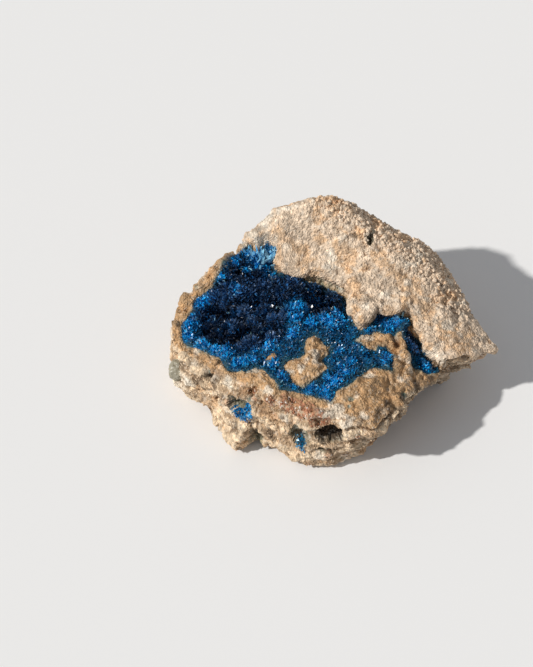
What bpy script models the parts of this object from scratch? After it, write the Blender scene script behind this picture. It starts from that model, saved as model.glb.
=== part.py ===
"""A loose hand specimen: a tan host rock with dark blue veszelyite grown over the hollow in its top.

Lengths are in metres. +X runs along the specimen towards its pointed end, +Y runs from the broken
front wall to the humped back, and +Z is up. The origin is the middle of the flat underside.
"""

import math

import bmesh
import bpy
import numpy as np

MM = 0.001

# Driving dimensions of the whole specimen.
LENGTH = 50.0 * MM
GRID_CELLS = 36
GRID_JITTER = 0.62
WALL_ROWS = 7
FLAT_SHARE = 0.72
FOOT_HEIGHT = 0.9 * MM
CONTACT_GAP = 0.3 * MM

# The ledge, the island and the let-in bed: how wide each slope is, and how high or deep it goes.
LEDGE_WIDTH = 1.4 * MM
LEDGE_LEAST = 0.5 * MM
ISLAND_SLOPE = 1.2 * MM
ISLAND_RISE = 0.7 * MM
MAIN_SLOPE = 1.6 * MM
GROOVE_SLOPE = 1.2 * MM
CRUST_RECESS = 1.2 * MM

# The crusts: thickness at the edge and further in, height of the crystals' points.
CRUST_EDGE = 0.3 * MM
CRUST_BODY = 0.9 * MM
CRUST_SLOPE = 2.0 * MM
CRYSTAL_LOW = 0.3 * MM
CRYSTAL_HIGH = 1.0 * MM
STEEPEST_CELL = 1.9 * MM

# Unevenness: the size of the largest lumps, then their height.
OUTLINE_LUMPS = (3.5 * MM, 0.3 * MM)
CAP_LUMPS = (5.0 * MM, 0.9 * MM)
TOP_LUMPS = (2.2 * MM, 0.55 * MM)
WALL_LUMPS = (5.0 * MM, 1.0 * MM)
WALL_BEDS = (3.0 * MM, 1.6 * MM)
FOOT_LUMPS = (8.0 * MM, 1.0 * MM)
CRUST_LUMPS = (2.6 * MM, 1.6 * MM)
BALL_LUMPS = (1.4, 0.35)

# Mounds on the lower surface: x and y of the middle, reach, height, in mm.
MOUNDS = ((4.6, -13.4, 5.0, 1.0), (-9.8, -11.8, 4.0, 0.8))

# The sharp ridge beside the groove: x and y of both ends, half width, height, in mm.
RIDGE = (10.6, -0.6, 10.9, -6.4, 1.3, 1.3)

# The upper edge of the wall, anticlockwise from the pointed end. Each station holds the edge's x, y
# and height, how far the wall's belly stands out past it, and how far the foot stands out, in mm.
STATIONS = (
    (25.1, -2.5, 9.0, -2.4, -8.0),
    (23.3, 0.2, 9.8, -1.6, -7.0),
    (21.4, 3.0, 10.8, 0.4, -5.0),
    (19.3, 7.2, 12.0, 1.0, -2.0),
    (17.8, 9.9, 13.2, 1.2, -0.5),
    (14.9, 12.6, 15.2, 1.2, 0.5),
    (11.0, 14.0, 17.0, 1.2, 1.0),
    (8.4, 15.2, 17.8, 1.0, 1.5),
    (4.0, 17.6, 18.4, 0.8, 1.0),
    (-3.3, 18.8, 18.6, 0.8, 0.5),
    (-8.8, 17.9, 18.0, 0.8, 0.5),
    (-11.6, 14.9, 17.6, 0.8, 1.0),
    (-14.4, 11.9, 15.4, 1.0, 1.0),
    (-20.4, 8.4, 12.4, 0.8, -0.5),
    (-23.2, 5.6, 11.0, 0.6, -1.0),
    (-24.1, 3.0, 9.9, 0.5, -1.5),
    (-23.9, -1.0, 9.1, 0.5, -1.0),
    (-21.2, -4.2, 9.6, 2.0, 0.5),
    (-17.6, -7.4, 10.2, 1.0, 0.0),
    (-15.0, -9.4, 10.8, 1.0, 1.6),
    (-12.2, -11.4, 11.3, 0.8, 3.4),
    (-11.3, -12.2, 11.4, 0.4, 4.5),
    (-10.6, -12.7, 11.5, 0.0, 1.4),
    (-8.0, -14.2, 11.8, 0.4, 1.2),
    (-3.6, -16.6, 11.4, 0.6, 1.8),
    (-0.6, -17.6, 11.2, 0.6, 1.2),
    (1.8, -18.4, 11.0, 0.4, -1.5),
    (5.6, -19.0, 10.4, -0.4, -4.0),
    (8.6, -15.2, 10.4, -0.6, -4.6),
    (11.6, -11.0, 10.3, -0.6, -4.6),
    (16.6, -6.2, 9.7, -1.0, -6.5),
    (20.8, -4.5, 9.4, -2.0, -9.0),
)

# Heights of the lower surface, which carries the crystals: x, y, z in mm.
FLOOR = (
    (-22.5, 0.5, 9.3),
    (-18.5, 6.5, 12.0),
    (-13.5, 10.8, 14.6),
    (-15.5, 1.5, 10.6),
    (-10.5, 4.5, 11.4),
    (-6.0, 7.0, 12.2),
    (-1.5, 4.5, 11.6),
    (2.0, 1.5, 11.2),
    (-4.0, -1.0, 12.0),
    (-4.5, -8.0, 12.4),
    (4.0, -5.0, 11.9),
    (9.0, -0.5, 11.6),
    (12.0, -3.6, 10.4),
    (14.0, -6.6, 9.3),
    (9.4, -7.0, 11.8),
    (4.8, -12.5, 11.9),
    (8.0, -14.4, 10.8),
    (-2.0, -14.4, 11.7),
    (-8.0, -11.6, 11.9),
    (-15.0, -7.6, 10.7),
    (-20.0, -3.4, 9.9),
    (22.0, -3.5, 8.6),
    (12.0, 6.0, 11.4),
    (0.0, 12.0, 13.0),
)

# Heights of the pale cap that overlies it, away from the rim.
CAP = (
    (-3.3, 16.2, 22.8),
    (-8.2, 15.6, 21.0),
    (2.6, 15.8, 22.0),
    (7.6, 12.6, 19.6),
    (12.8, 9.6, 16.8),
    (16.6, 6.0, 14.4),
    (-11.2, 12.8, 17.6),
    (-8.0, 10.6, 16.4),
    (-3.5, 12.0, 18.3),
    (-5.0, 9.6, 15.6),
    (-0.5, 8.2, 15.4),
    (3.0, 9.6, 17.4),
    (3.6, 5.6, 15.4),
    (3.4, 2.4, 14.4),
    (4.8, -0.8, 13.4),
    (8.0, 6.0, 16.2),
    (8.5, 3.0, 14.6),
    (13.0, 3.5, 14.6),
    (14.6, -0.6, 13.0),
    (13.2, -4.0, 12.0),
    (17.0, -2.0, 12.2),
    (16.6, -6.4, 10.8),
    (21.0, -2.6, 10.4),
)

# The ledge where the cap breaks off above the crystals, then round outside the rim, in mm.
CAP_OUTLINE = (
    (-19.0, 13.4),
    (-14.8, 13.8),
    (-13.0, 13.5),
    (-9.6, 12.4),
    (-8.4, 11.2),
    (-8.1, 9.8),
    (-4.7, 9.1),
    (-1.1, 8.3),
    (0.8, 7.4),
    (2.2, 6.4),
    (3.1, 5.0),
    (3.1, 2.3),
    (2.9, 1.4),
    (3.6, 0.4),
    (4.5, -0.5),
    (5.3, 0.3),
    (6.6, 1.9),
    (8.4, 2.2),
    (11.7, 2.5),
    (12.8, 1.0),
    (12.5, -0.6),
    (12.8, -2.2),
    (13.8, -3.9),
    (15.6, -4.9),
    (16.8, -7.4),
    (20.0, -12.0),
    (34.0, -4.0),
    (28.0, 20.0),
    (0.0, 32.0),
    (-20.0, 26.0),
)

# Where the blue crystals cover the lower surface: the large patch and the one in the side groove.
DRUSE_OUTLINE = (
    (-22.9, -0.6),
    (-23.1, 1.3),
    (-23.0, 2.4),
    (-21.7, 3.6),
    (-21.1, 4.4),
    (-21.2, 5.6),
    (-20.2, 6.3),
    (-18.3, 7.2),
    (-17.9, 8.3),
    (-16.8, 10.4),
    (-15.6, 11.4),
    (-14.0, 12.4),
    (-13.0, 12.9),
    (-11.6, 11.8),
    (-10.1, 12.0),
    (-8.9, 10.8),
    (-8.7, 9.6),
    (-8.1, 9.0),
    (-4.9, 8.5),
    (-1.4, 7.7),
    (0.3, 6.8),
    (1.7, 5.9),
    (2.5, 4.9),
    (2.5, 2.3),
    (2.3, 1.3),
    (3.3, 0.0),
    (4.4, -0.9),
    (5.7, -0.1),
    (7.0, 1.4),
    (8.5, 1.6),
    (11.5, 1.9),
    (12.0, 1.0),
    (11.0, -0.4),
    (9.6, -1.2),
    (8.1, -1.4),
    (6.7, -1.0),
    (5.6, -1.8),
    (4.6, -2.0),
    (3.4, -3.3),
    (4.3, -3.9),
    (5.5, -5.2),
    (6.5, -5.5),
    (6.9, -4.5),
    (8.1, -4.6),
    (8.9, -6.4),
    (9.1, -8.0),
    (8.8, -9.3),
    (7.4, -8.9),
    (5.7, -9.1),
    (4.4, -10.0),
    (3.4, -11.7),
    (1.5, -12.8),
    (0.4, -13.6),
    (-0.5, -15.1),
    (-1.7, -14.5),
    (-4.8, -13.6),
    (-8.1, -13.0),
    (-8.3, -12.1),
    (-9.5, -10.6),
    (-10.4, -8.6),
    (-11.5, -8.0),
    (-13.2, -8.9),
    (-15.8, -8.2),
    (-16.7, -6.5),
    (-17.3, -5.4),
    (-18.8, -4.4),
    (-21.0, -2.9),
    (-22.2, -1.7),
)
ISLAND_OUTLINE = (
    (-3.0, -2.5),
    (-2.1, -2.8),
    (-1.5, -4.5),
    (-0.6, -4.5),
    (-0.9, -6.3),
    (-1.8, -7.5),
    (-1.1, -9.5),
    (-2.5, -11.0),
    (-4.4, -12.6),
    (-5.6, -12.2),
    (-6.3, -10.9),
    (-7.4, -8.6),
    (-7.1, -7.7),
    (-5.2, -7.2),
    (-4.2, -6.2),
    (-3.9, -3.5),
)
GROOVE_OUTLINE = (
    (10.9, -0.9),
    (12.2, -2.3),
    (13.1, -3.8),
    (13.4, -4.5),
    (15.1, -5.5),
    (15.6, -6.5),
    (14.4, -7.2),
    (13.1, -7.5),
    (12.1, -6.4),
    (11.6, -4.1),
    (11.0, -2.1),
)

# Pits in the rock: the middle and the three radii of each, in mm.
PITS = (
    ((-14.8, -12.9, 6.9), (1.9, 2.9, 2.1)),
    ((-5.1, -17.7, 6.5), (1.6, 2.9, 2.0)),
    ((-0.5, -18.8, 7.9), (2.2, 3.3, 1.8)),
    ((-19.2, -7.3, 8.0), (0.9, 1.7, 0.9)),
    ((-11.8, -15.4, 2.0), (1.5, 2.6, 3.4)),
    ((-0.9, -19.9, 4.2), (2.8, 2.3, 0.6)),
    ((5.8, 11.1, 19.6), (0.6, 1.3, 1.8)),
)
LEFT_PIT, FRONT_PIT = PITS[0], PITS[1]

# How far the ball that hollows each pit's crust is moved, in mm: away from the crust's thick side.
LEFT_HOLLOW = (-1.2, -0.3, 0.9)
FRONT_HOLLOW = (-0.3, -0.7, 1.1)

# The glassy lump in the left end, which stands half out of the rock.
NODULE = ((-23.3, -3.4, 5.7), (1.6, 1.7, 1.6))


def lattice(ix, iy, iz):
    """A repeatable number from 0 to 1 for each whole-number cell."""
    n = (ix * 374761393 + iy * 668265263 + iz * 1440662683) & 0xFFFFFFFF
    n = ((n ^ (n >> 13)) * 1274126177) & 0xFFFFFFFF
    return ((n ^ (n >> 16)) & 0xFFFF) / 65535.0


def value_noise(x, y, z):
    """Smooth noise from 0 to 1: the eight corners of each cell, blended by an s-curve."""
    cell = [np.floor(c).astype(np.int64) for c in (x, y, z)]
    part = [c - np.floor(c) for c in (x, y, z)]
    sx, sy, sz = (t * t * (3 - 2 * t) for t in part)
    total = 0.0
    for i in (0, 1):
        for j in (0, 1):
            for k in (0, 1):
                weight = (sx if i else 1 - sx) * (sy if j else 1 - sy) * (sz if k else 1 - sz)
                total = total + weight * lattice(cell[0] + i, cell[1] + j, cell[2] + k)
    return total


def rough(x, y, z, size, octaves=3):
    """Noise from -1 to 1 whose largest lumps measure size, with finer ones at half the height."""
    total, height = 0.0, 0.5
    for octave in range(octaves):
        scale = 2**octave / size
        shift = 17.3 * (octave + 1)
        noise = value_noise(x * scale + shift, y * scale + shift, z * scale + shift)
        total = total + height * (2 * noise - 1)
        height *= 0.5
    return total


def s_curve(t):
    t = np.clip(t, 0.0, 1.0)
    return t * t * (3 - 2 * t)


def depth_inside(x, y, outline):
    """The distance from each point to an outline's nearest edge, positive inside it."""
    corners = np.array(outline, float) * MM
    nearest = np.full(np.shape(x), np.inf)
    inside = np.zeros(np.shape(x), bool)
    for (ax, ay), (bx, by) in zip(corners, np.roll(corners, -1, axis=0)):
        ex, ey = bx - ax, by - ay
        along = np.clip(((x - ax) * ex + (y - ay) * ey) / (ex * ex + ey * ey), 0, 1)
        nearest = np.minimum(nearest, np.hypot(x - ax - along * ex, y - ay - along * ey))
        crosses = (ay > y) != (by > y)
        level = np.where(crosses, (y - ay) / (ey if ey else 1.0), 0.0)
        inside ^= crosses & (x < ax + level * ex)
    return np.where(inside, nearest, -nearest)


def bent_plate(points):
    """A function giving the height of a thin plate bent through the points."""
    known = np.array(points, float) * MM
    spread = LENGTH / 2

    def kernel(dx, dy):
        r2 = (dx * dx + dy * dy) / spread**2
        return r2 * np.log(r2 + 1e-12)

    count = len(known)
    system = np.zeros((count + 3, count + 3))
    system[:count, :count] = kernel(*(known[:, None, k] - known[None, :, k] for k in (0, 1)))
    plane = np.column_stack([np.ones(count), known[:, :2] / spread])
    system[:count, count:] = plane
    system[count:, :count] = plane.T
    weights = np.linalg.solve(system, np.append(known[:, 2], np.zeros(3)))

    def height(x, y):
        total = weights[count] + (weights[count + 1] * x + weights[count + 2] * y) / spread
        for (px, py, _), weight in zip(known, weights):
            total = total + weight * kernel(x - px, y - py)
        return total

    return height


STATION_ANGLES = np.array([math.atan2(s[1], s[0]) for s in STATIONS])
FLOOR_PLATE = bent_plate(FLOOR)
CAP_PLATE = bent_plate(CAP + tuple(s[:3] for s in STATIONS[:12]))


def around(angle, values):
    """Values given at the stations, read at any angle round the specimen."""
    return np.interp(angle, STATION_ANGLES, values, period=2 * math.pi)


def rim_radius(angle):
    return around(angle, [math.hypot(s[0], s[1]) for s in STATIONS]) * MM


def uneven(x, y, z, lumps, octaves=3):
    """Roughness with lumps of the given size and height."""
    size, height = lumps
    return rough(x, y, z, size, octaves) * height


def mound(x, y, place_x, place_y, reach, height):
    """A round-topped mound of that height, with its foot that far from its middle."""
    t = np.hypot(x - place_x * MM, y - place_y * MM) / (reach * MM)
    return height * MM * s_curve(1 - t)


def ridge(x, y, start_x, start_y, end_x, end_y, width, height):
    """A sharp-backed ridge between two places."""
    ax, ay, bx, by = (c * MM for c in (start_x, start_y, end_x, end_y))
    ex, ey = bx - ax, by - ay
    along = np.clip(((x - ax) * ex + (y - ay) * ey) / (ex * ex + ey * ey), 0, 1)
    away = np.hypot(x - ax - along * ex, y - ay - along * ey) / (width * MM)
    return height * MM * np.clip(1 - away, 0, 1)


def wander(x, y):
    """Both coordinates pushed about a little, so that an outline read there has a ragged edge."""
    return x + uneven(x, y, 0 * x, OUTLINE_LUMPS), y + uneven(y, x, 0 * x + 1.0, OUTLINE_LUMPS)


def main_patch(x, y):
    """How far each place lies inside the large patch of crystals, and clear of its island."""
    wx, wy = wander(x, y)
    return np.minimum(depth_inside(wx, wy, DRUSE_OUTLINE), -depth_inside(wx, wy, ISLAND_OUTLINE))


def groove_patch(x, y):
    """How far each place lies inside the small patch in the side groove."""
    wx, wy = wander(x, y)
    return depth_inside(wx, wy, GROOVE_OUTLINE)


def top_height(x, y):
    """The height of the rock's upper side: the crystals' bed, with the pale cap lying over it."""
    wx, wy = wander(x, y)
    floor = FLOOR_PLATE(x, y)
    for numbers in MOUNDS:
        floor = floor + mound(x, y, *numbers)
    floor = floor + ridge(x, y, *RIDGE)
    floor = floor + s_curve(depth_inside(wx, wy, ISLAND_OUTLINE) / ISLAND_SLOPE) * ISLAND_RISE
    cap = CAP_PLATE(x, y) + uneven(x, y, 0 * x, CAP_LUMPS)
    share = s_curve(depth_inside(wx, wy, CAP_OUTLINE) / LEDGE_WIDTH + 0.5)
    height = floor + share * np.maximum(cap - floor, LEDGE_LEAST)
    height = height - s_curve(main_patch(x, y) / MAIN_SLOPE) * CRUST_RECESS
    height = height - s_curve(groove_patch(x, y) / GROOVE_SLOPE) * CRUST_RECESS
    return height + uneven(x, y, 0 * x + 2.0, TOP_LUMPS)


def square_to_disc(a, b):
    """Turns a square's coordinates, -1 to 1, into a disc's radius, 0 to 1, and angle."""
    wide = np.abs(a) >= np.abs(b)
    reach = np.where(wide, a, b)
    safe = np.where(reach == 0, 1.0, reach)
    turn = np.where(wide, b / safe * math.pi / 4, math.pi / 2 - a / safe * math.pi / 4)
    return np.abs(reach), np.where(reach < 0, turn + math.pi, turn)


def top_grid():
    """Plan positions over the upper side, as an irregular net that runs out to the rim."""
    line = np.linspace(-1, 1, GRID_CELLS + 1)
    a, b = np.meshgrid(line, line, indexing="ij")
    cell = 2 / GRID_CELLS
    index = np.arange(a.size).reshape(a.shape)
    free = (np.abs(a) < 0.99) & (np.abs(b) < 0.99)
    a = a + free * (lattice(index, index * 0 + 3, index * 0) - 0.5) * GRID_JITTER * cell
    b = b + free * (lattice(index, index * 0 + 8, index * 0) - 0.5) * GRID_JITTER * cell
    radius, angle = square_to_disc(a, b)
    reach = radius * rim_radius(angle)
    return reach * np.cos(angle), reach * np.sin(angle)


def grid_border():
    """Indices of the net's edge points, anticlockwise seen from above, starting at one corner."""
    n = GRID_CELLS
    index = np.arange((n + 1) ** 2).reshape(n + 1, n + 1)
    return np.concatenate([index[:-1, 0], index[-1, :-1], index[:0:-1, -1], index[0, :0:-1]])


def grid_triangles(points):
    """Two triangles for each cell of the net, split along its shorter diagonal."""
    n = GRID_CELLS
    index = np.arange((n + 1) ** 2).reshape(n + 1, n + 1)
    a, b = index[:-1, :-1].ravel(), index[1:, :-1].ravel()
    c, d = index[1:, 1:].ravel(), index[:-1, 1:].ravel()
    first = np.linalg.norm(points[a] - points[c], axis=1) < np.linalg.norm(points[b] - points[d], axis=1)
    one = np.where(first[:, None], np.column_stack([a, b, c]), np.column_stack([a, b, d]))
    two = np.where(first[:, None], np.column_stack([a, c, d]), np.column_stack([b, c, d]))
    return np.concatenate([one, two])


def wall_ring(share, start, angle):
    """The points of one level of the wall: share is 0 at the rim and 1 at the foot."""
    belly = around(angle, [s[3] for s in STATIONS]) * MM
    foot = around(angle, [s[4] for s in STATIONS]) * MM
    out = 4 * share * (1 - share) * belly + share**1.3 * foot
    radius = np.hypot(start[:, 0], start[:, 1]) + out
    z = start[:, 2] * (1 - share)
    x, y = radius * np.cos(angle), radius * np.sin(angle)
    beds = uneven(x * 0.5, y * 0.5, z * 1.6, WALL_BEDS)
    jut = (beds + uneven(x, y, z, WALL_LUMPS)) * min(1.0, 5 * share)
    return np.column_stack([x + jut * np.cos(angle), y + jut * np.sin(angle), z])


def new_object(name, mesh_data, material):
    mesh = bpy.data.meshes.new(name)
    mesh_data.to_mesh(mesh)
    mesh_data.free()
    mesh.materials.append(material)
    obj = bpy.data.objects.new(name, mesh)
    bpy.context.scene.collection.objects.link(obj)
    return obj


def plain_material(name, colour, roughness, transmission=0.0):
    material = bpy.data.materials.new(name)
    material.use_nodes = True
    shader = material.node_tree.nodes["Principled BSDF"]
    shader.inputs["Base Color"].default_value = (*colour, 1.0)
    shader.inputs["Roughness"].default_value = roughness
    shader.inputs["Transmission Weight"].default_value = transmission
    return material


def upper_net():
    """The net of points over the rock's upper side, one row after another."""
    x, y = (c.ravel() for c in top_grid())
    return np.column_stack([x, y, top_height(x, y)])


def rock_body(net, material):
    """The rock before its pits are cut: the net, the wall's rings below its edge, a flat underside."""
    border = grid_border()
    edge = net[border]
    angle = np.arctan2(edge[:, 1], edge[:, 0])
    rings = [wall_ring(row / WALL_ROWS, edge, angle) for row in range(1, WALL_ROWS + 1)]
    rings[-1][:, 2] = FOOT_HEIGHT + uneven(edge[:, 0], edge[:, 1], 0 * angle, FOOT_LUMPS)
    flat = rings[-1] * [FLAT_SHARE, FLAT_SHARE, 0.0]
    work = bmesh.new()
    verts = [work.verts.new(p) for p in np.concatenate([net, *rings, flat])]
    for triangle in grid_triangles(net):
        work.faces.new([verts[i] for i in triangle])
    count = len(border)
    levels = [border] + [len(net) + count * row + np.arange(count) for row in range(WALL_ROWS + 1)]
    for row, (upper, lower) in enumerate(zip(levels, levels[1:])):
        for i in range(count):
            j = (i + 1) % count
            a, b, c, d = (verts[k] for k in (upper[i], upper[j], lower[j], lower[i]))
            split = ((a, c, b), (a, d, c)) if (row + i) % 2 else ((a, d, b), (b, d, c))
            for corners in split:
                work.faces.new(corners)
    work.faces.new([verts[i] for i in levels[-1][::-1]])
    bmesh.ops.recalc_face_normals(work, faces=work.faces)
    return new_object("host_rock", work, material)


def lump(name, place, radii, material, grow=0.0):
    """A closed, slightly uneven ball with three radii, each larger by grow."""
    work = bmesh.new()
    bmesh.ops.create_icosphere(work, subdivisions=2, radius=1.0)
    middle = np.array(place) * MM
    size = np.array(radii) * MM + grow
    for vert in work.verts:
        unit = np.array(vert.co)
        vert.co = middle + unit * size * (1 + float(uneven(*(unit + middle / MM), BALL_LUMPS)))
    return new_object(name, work, material)


def combine(obj, other, operation):
    """Applies an exact Boolean between an object and a hidden cutter, then removes the cutter."""
    other.hide_render = True
    other.display_type = "WIRE"
    modifier = obj.modifiers.new("cut", "BOOLEAN")
    modifier.operation = operation
    modifier.solver = "EXACT"
    modifier.object = other
    bpy.context.view_layer.update()
    evaluated = obj.evaluated_get(bpy.context.evaluated_depsgraph_get())
    result = bpy.data.meshes.new_from_object(evaluated)
    obj.modifiers.clear()
    obj.data = result
    bpy.data.objects.remove(other)


def solid_cells(patch, net):
    """Which cells of the net a patch of crystals covers: one joined group, with no corner-only links."""
    n = GRID_CELLS
    grid = net.reshape(n + 1, n + 1, 3)
    middle = (grid[:-1, :-1] + grid[1:, :-1] + grid[1:, 1:] + grid[:-1, 1:]) / 4
    corners = np.stack([grid[:-1, :-1, 2], grid[1:, :-1, 2], grid[1:, 1:, 2], grid[:-1, 1:, 2]])
    cover = patch(middle[..., 0], middle[..., 1])
    wanted = (cover > 0) & (np.ptp(corners, axis=0) < STEEPEST_CELL)
    start = np.unravel_index(np.argmax(np.where(wanted, cover, -1.0)), wanted.shape)
    group = np.zeros_like(wanted)
    group[start] = True
    while True:
        wider = group.copy()
        wider[1:] |= group[:-1]
        wider[:-1] |= group[1:]
        wider[:, 1:] |= group[:, :-1]
        wider[:, :-1] |= group[:, 1:]
        wider &= wanted
        a, b, c, d = wider[:-1, :-1], wider[1:, :-1], wider[1:, 1:], wider[:-1, 1:]
        wanted[:-1, :-1] |= b & d & ~a & ~c
        wanted[1:, :-1] |= a & c & ~b & ~d
        wider = wider & wanted
        if (wider == group).all():
            return group
        group = wider


def crust(name, patch, net, material):
    """A crust of crystals: a shell on the rock's own net, with one leaning point over each cell."""
    n = GRID_CELLS
    cells = solid_cells(patch, net)
    inside = patch(net[:, 0], net[:, 1])
    lower = net + [0.0, 0.0, CONTACT_GAP]
    balls = np.abs(uneven(net[:, 0], net[:, 1], 0 * inside + 5.0, CRUST_LUMPS, 2))
    body = CRUST_EDGE + s_curve(inside / CRUST_SLOPE) * (CRUST_BODY + balls)
    upper = lower + np.column_stack([0 * body, 0 * body, body])
    work = bmesh.new()
    low = [work.verts.new(p) for p in lower]
    high = [work.verts.new(p) for p in upper]
    triangles = grid_triangles(net)
    both = len(triangles) // 2
    for cell in np.flatnonzero(cells.ravel()):
        i, j = divmod(int(cell), n)
        corners = [i * (n + 1) + j, (i + 1) * (n + 1) + j, (i + 1) * (n + 1) + j + 1, i * (n + 1) + j + 1]
        for triangle in (triangles[cell], triangles[cell + both]):
            work.faces.new([low[k] for k in triangle[::-1]])
        shares = 0.6 + 0.8 * lattice(np.arange(4) + i * 7, np.full(4, j), np.arange(4))
        tip = (upper[corners] * shares[:, None]).sum(axis=0) / shares.sum()
        tip[2] += CRYSTAL_LOW + (CRYSTAL_HIGH - CRYSTAL_LOW) * float(lattice(i, j, 11)) ** 1.5
        point = work.verts.new(tip)
        for k, m in zip(corners, corners[1:] + corners[:1]):
            work.faces.new([high[k], high[m], point])
        sides = ((i, j - 1, 0, 1), (i + 1, j, 1, 2), (i, j + 1, 2, 3), (i - 1, j, 3, 0))
        for ni, nj, first, second in sides:
            if 0 <= ni < n and 0 <= nj < n and cells[ni, nj]:
                continue
            k, m = corners[first], corners[second]
            work.faces.new([low[k], low[m], high[m]])
            work.faces.new([low[k], high[m], high[k]])
    loose = [v for v in work.verts if not v.link_faces]
    bmesh.ops.delete(work, geom=loose, context="VERTS")
    bmesh.ops.recalc_face_normals(work, faces=work.faces)
    return new_object(name, work, material)


def pit_crust(name, pit, offset, material):
    """The crust in a pit: the pit's shape less the gap, hollowed by a ball moved up and outwards."""
    place, radii = pit
    obj = lump(name, place, radii, material, -CONTACT_GAP)
    hollow = lump("hollow_cutter", [p + o for p, o in zip(place, offset)], radii, material)
    combine(obj, hollow, "DIFFERENCE")
    return obj


def main():
    for obj in list(bpy.data.objects):
        bpy.data.objects.remove(obj)
    tan = plain_material("tan_rock", (0.56, 0.42, 0.28), 0.9)
    blue = plain_material("blue_crystal", (0.006, 0.06, 0.21), 0.25)
    glassy = plain_material("glassy_quartz", (0.62, 0.60, 0.52), 0.2, 0.5)

    net = upper_net()
    rock = rock_body(net, tan)
    for place, radii in PITS:
        combine(rock, lump("pit_cutter", place, radii, tan), "DIFFERENCE")
    combine(rock, lump("nodule_cutter", *NODULE, tan, CONTACT_GAP), "DIFFERENCE")
    crust("druse_main", main_patch, net, blue)
    crust("druse_groove", groove_patch, net, blue)
    pit_crust("druse_vug_left", LEFT_PIT, LEFT_HOLLOW, blue)
    pit_crust("druse_vug_front", FRONT_PIT, FRONT_HOLLOW, blue)
    lump("quartz_nodule", *NODULE, glassy)


main()
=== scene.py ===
# %% [markdown]
# # A veszelyite specimen
# The real thing is a piece of tan, crumbly rock about five centimetres long. Its top has a hollow
# lined with thousands of small blue crystals, and a paler cap of rock overhangs the hollow at the
# back. A solid model of it is already packed, and this script dresses that model: it works out a
# fine surface for each piece and gives each its finish.

import math

import bpy
import numpy as np
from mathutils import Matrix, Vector


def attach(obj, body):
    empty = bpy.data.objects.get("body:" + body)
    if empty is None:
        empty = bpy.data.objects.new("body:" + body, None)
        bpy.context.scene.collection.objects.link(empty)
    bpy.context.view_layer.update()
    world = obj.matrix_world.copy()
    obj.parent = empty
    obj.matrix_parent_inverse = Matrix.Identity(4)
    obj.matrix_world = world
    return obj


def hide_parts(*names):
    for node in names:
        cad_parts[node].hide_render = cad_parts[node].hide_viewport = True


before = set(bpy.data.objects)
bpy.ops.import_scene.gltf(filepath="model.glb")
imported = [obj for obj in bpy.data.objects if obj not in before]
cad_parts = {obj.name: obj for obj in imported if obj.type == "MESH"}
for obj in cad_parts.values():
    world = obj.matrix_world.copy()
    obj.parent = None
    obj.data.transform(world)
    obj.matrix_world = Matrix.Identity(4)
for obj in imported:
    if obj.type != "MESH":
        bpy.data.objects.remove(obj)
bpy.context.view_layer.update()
MM = 0.001

# %% [markdown]
# ## Camera and light
# The specimen was seen from the front and well above, by a long lens. The camera is made from the
# angle, the distance and the width of what it sees, so that it can be reasoned about.

# %% Camera
CAMERA_RISE = math.radians(48.0)
CAMERA_DISTANCE = 0.420
SEEN_HEIGHT = 0.1014
AIM = Vector((-0.010, 0.0, 0.010))
SENSOR = 36.0


def add_camera():
    """A camera on a line that leans back from AIM by CAMERA_RISE; its lens takes in SEEN_HEIGHT."""
    data = bpy.data.cameras.new("camera")
    camera = bpy.data.objects.new("camera", data)
    bpy.context.scene.collection.objects.link(camera)
    back = Vector((0.0, -math.cos(CAMERA_RISE), math.sin(CAMERA_RISE)))
    camera.location = AIM + back * CAMERA_DISTANCE
    camera.rotation_mode = "QUATERNION"
    camera.rotation_quaternion = (-back).to_track_quat("-Z", "Y")
    data.sensor_width = SENSOR
    data.lens = SENSOR * CAMERA_DISTANCE / SEEN_HEIGHT
    data.clip_start = 0.01
    bpy.context.scene.camera = camera
    return data.lens


print("lens, mm:", round(add_camera(), 1))

# %% [markdown]
# The light is one lamp far to the left, which draws every grain by its shadow, and a pale even sky.
# Several soft lamps would be kinder, but they would wipe out the crumbs. A lamp of some breadth
# softens the edges of the shadows a little.

# %% Light
SUN_FROM = Vector((-0.74, -0.27, 0.62))
SUN_STRENGTH = 3.2
SUN_BREADTH = math.radians(2.0)
SUN_TINT = (1.0, 0.975, 0.93)
SKY_STRENGTH = 0.32
SKY_TINT = (0.95, 0.97, 1.0, 1.0)


def add_light():
    """One broad lamp from the left, and an even sky for the shadows."""
    data = bpy.data.lights.new("key", "SUN")
    data.energy = SUN_STRENGTH
    data.angle = SUN_BREADTH
    data.color = SUN_TINT
    lamp = bpy.data.objects.new("key", data)
    lamp.rotation_mode = "QUATERNION"
    lamp.rotation_quaternion = SUN_FROM.to_track_quat("Z", "Y")
    bpy.context.scene.collection.objects.link(lamp)
    world = bpy.data.worlds.new("sky")
    world.use_nodes = True
    sky = world.node_tree.nodes["Background"]
    sky.inputs["Color"].default_value = SKY_TINT
    sky.inputs["Strength"].default_value = SKY_STRENGTH
    bpy.context.scene.world = world
    bpy.context.scene.view_settings.view_transform = "Standard"


add_light()
print("lamp and sky are in place")

# %% [markdown]
# ## Noise
# Broken rock has no outline that could be drawn by hand, so its roughness is worked out. Two kinds
# of noise do it. Smooth noise gives swells and ledges. Cell noise gives rounded crumbs with creases
# between them, because each point belongs to its nearest seed. Both hash whole numbers, so the
# same rock comes out at every run.

# %% Noise helpers
# Large numbers that tell neighbouring cells apart, and one that stirs the result.
CELL_FACTORS = (374761393, 668265263, 1440662683)
STIRRING = 1274126177

# Cells away from a seed's own cell, so that its three coordinates and its tone differ.
SEED_Y, SEED_Z, SEED_TONE = 71, 53, 37


def lattice(ix, iy, iz):
    """A repeatable number from 0 to 1 for each whole-number cell."""
    n = (ix * CELL_FACTORS[0] + iy * CELL_FACTORS[1] + iz * CELL_FACTORS[2]) & 0xFFFFFFFF
    n = ((n ^ (n >> 13)) * STIRRING) & 0xFFFFFFFF
    return ((n ^ (n >> 16)) & 0xFFFF) / 65535.0


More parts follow.
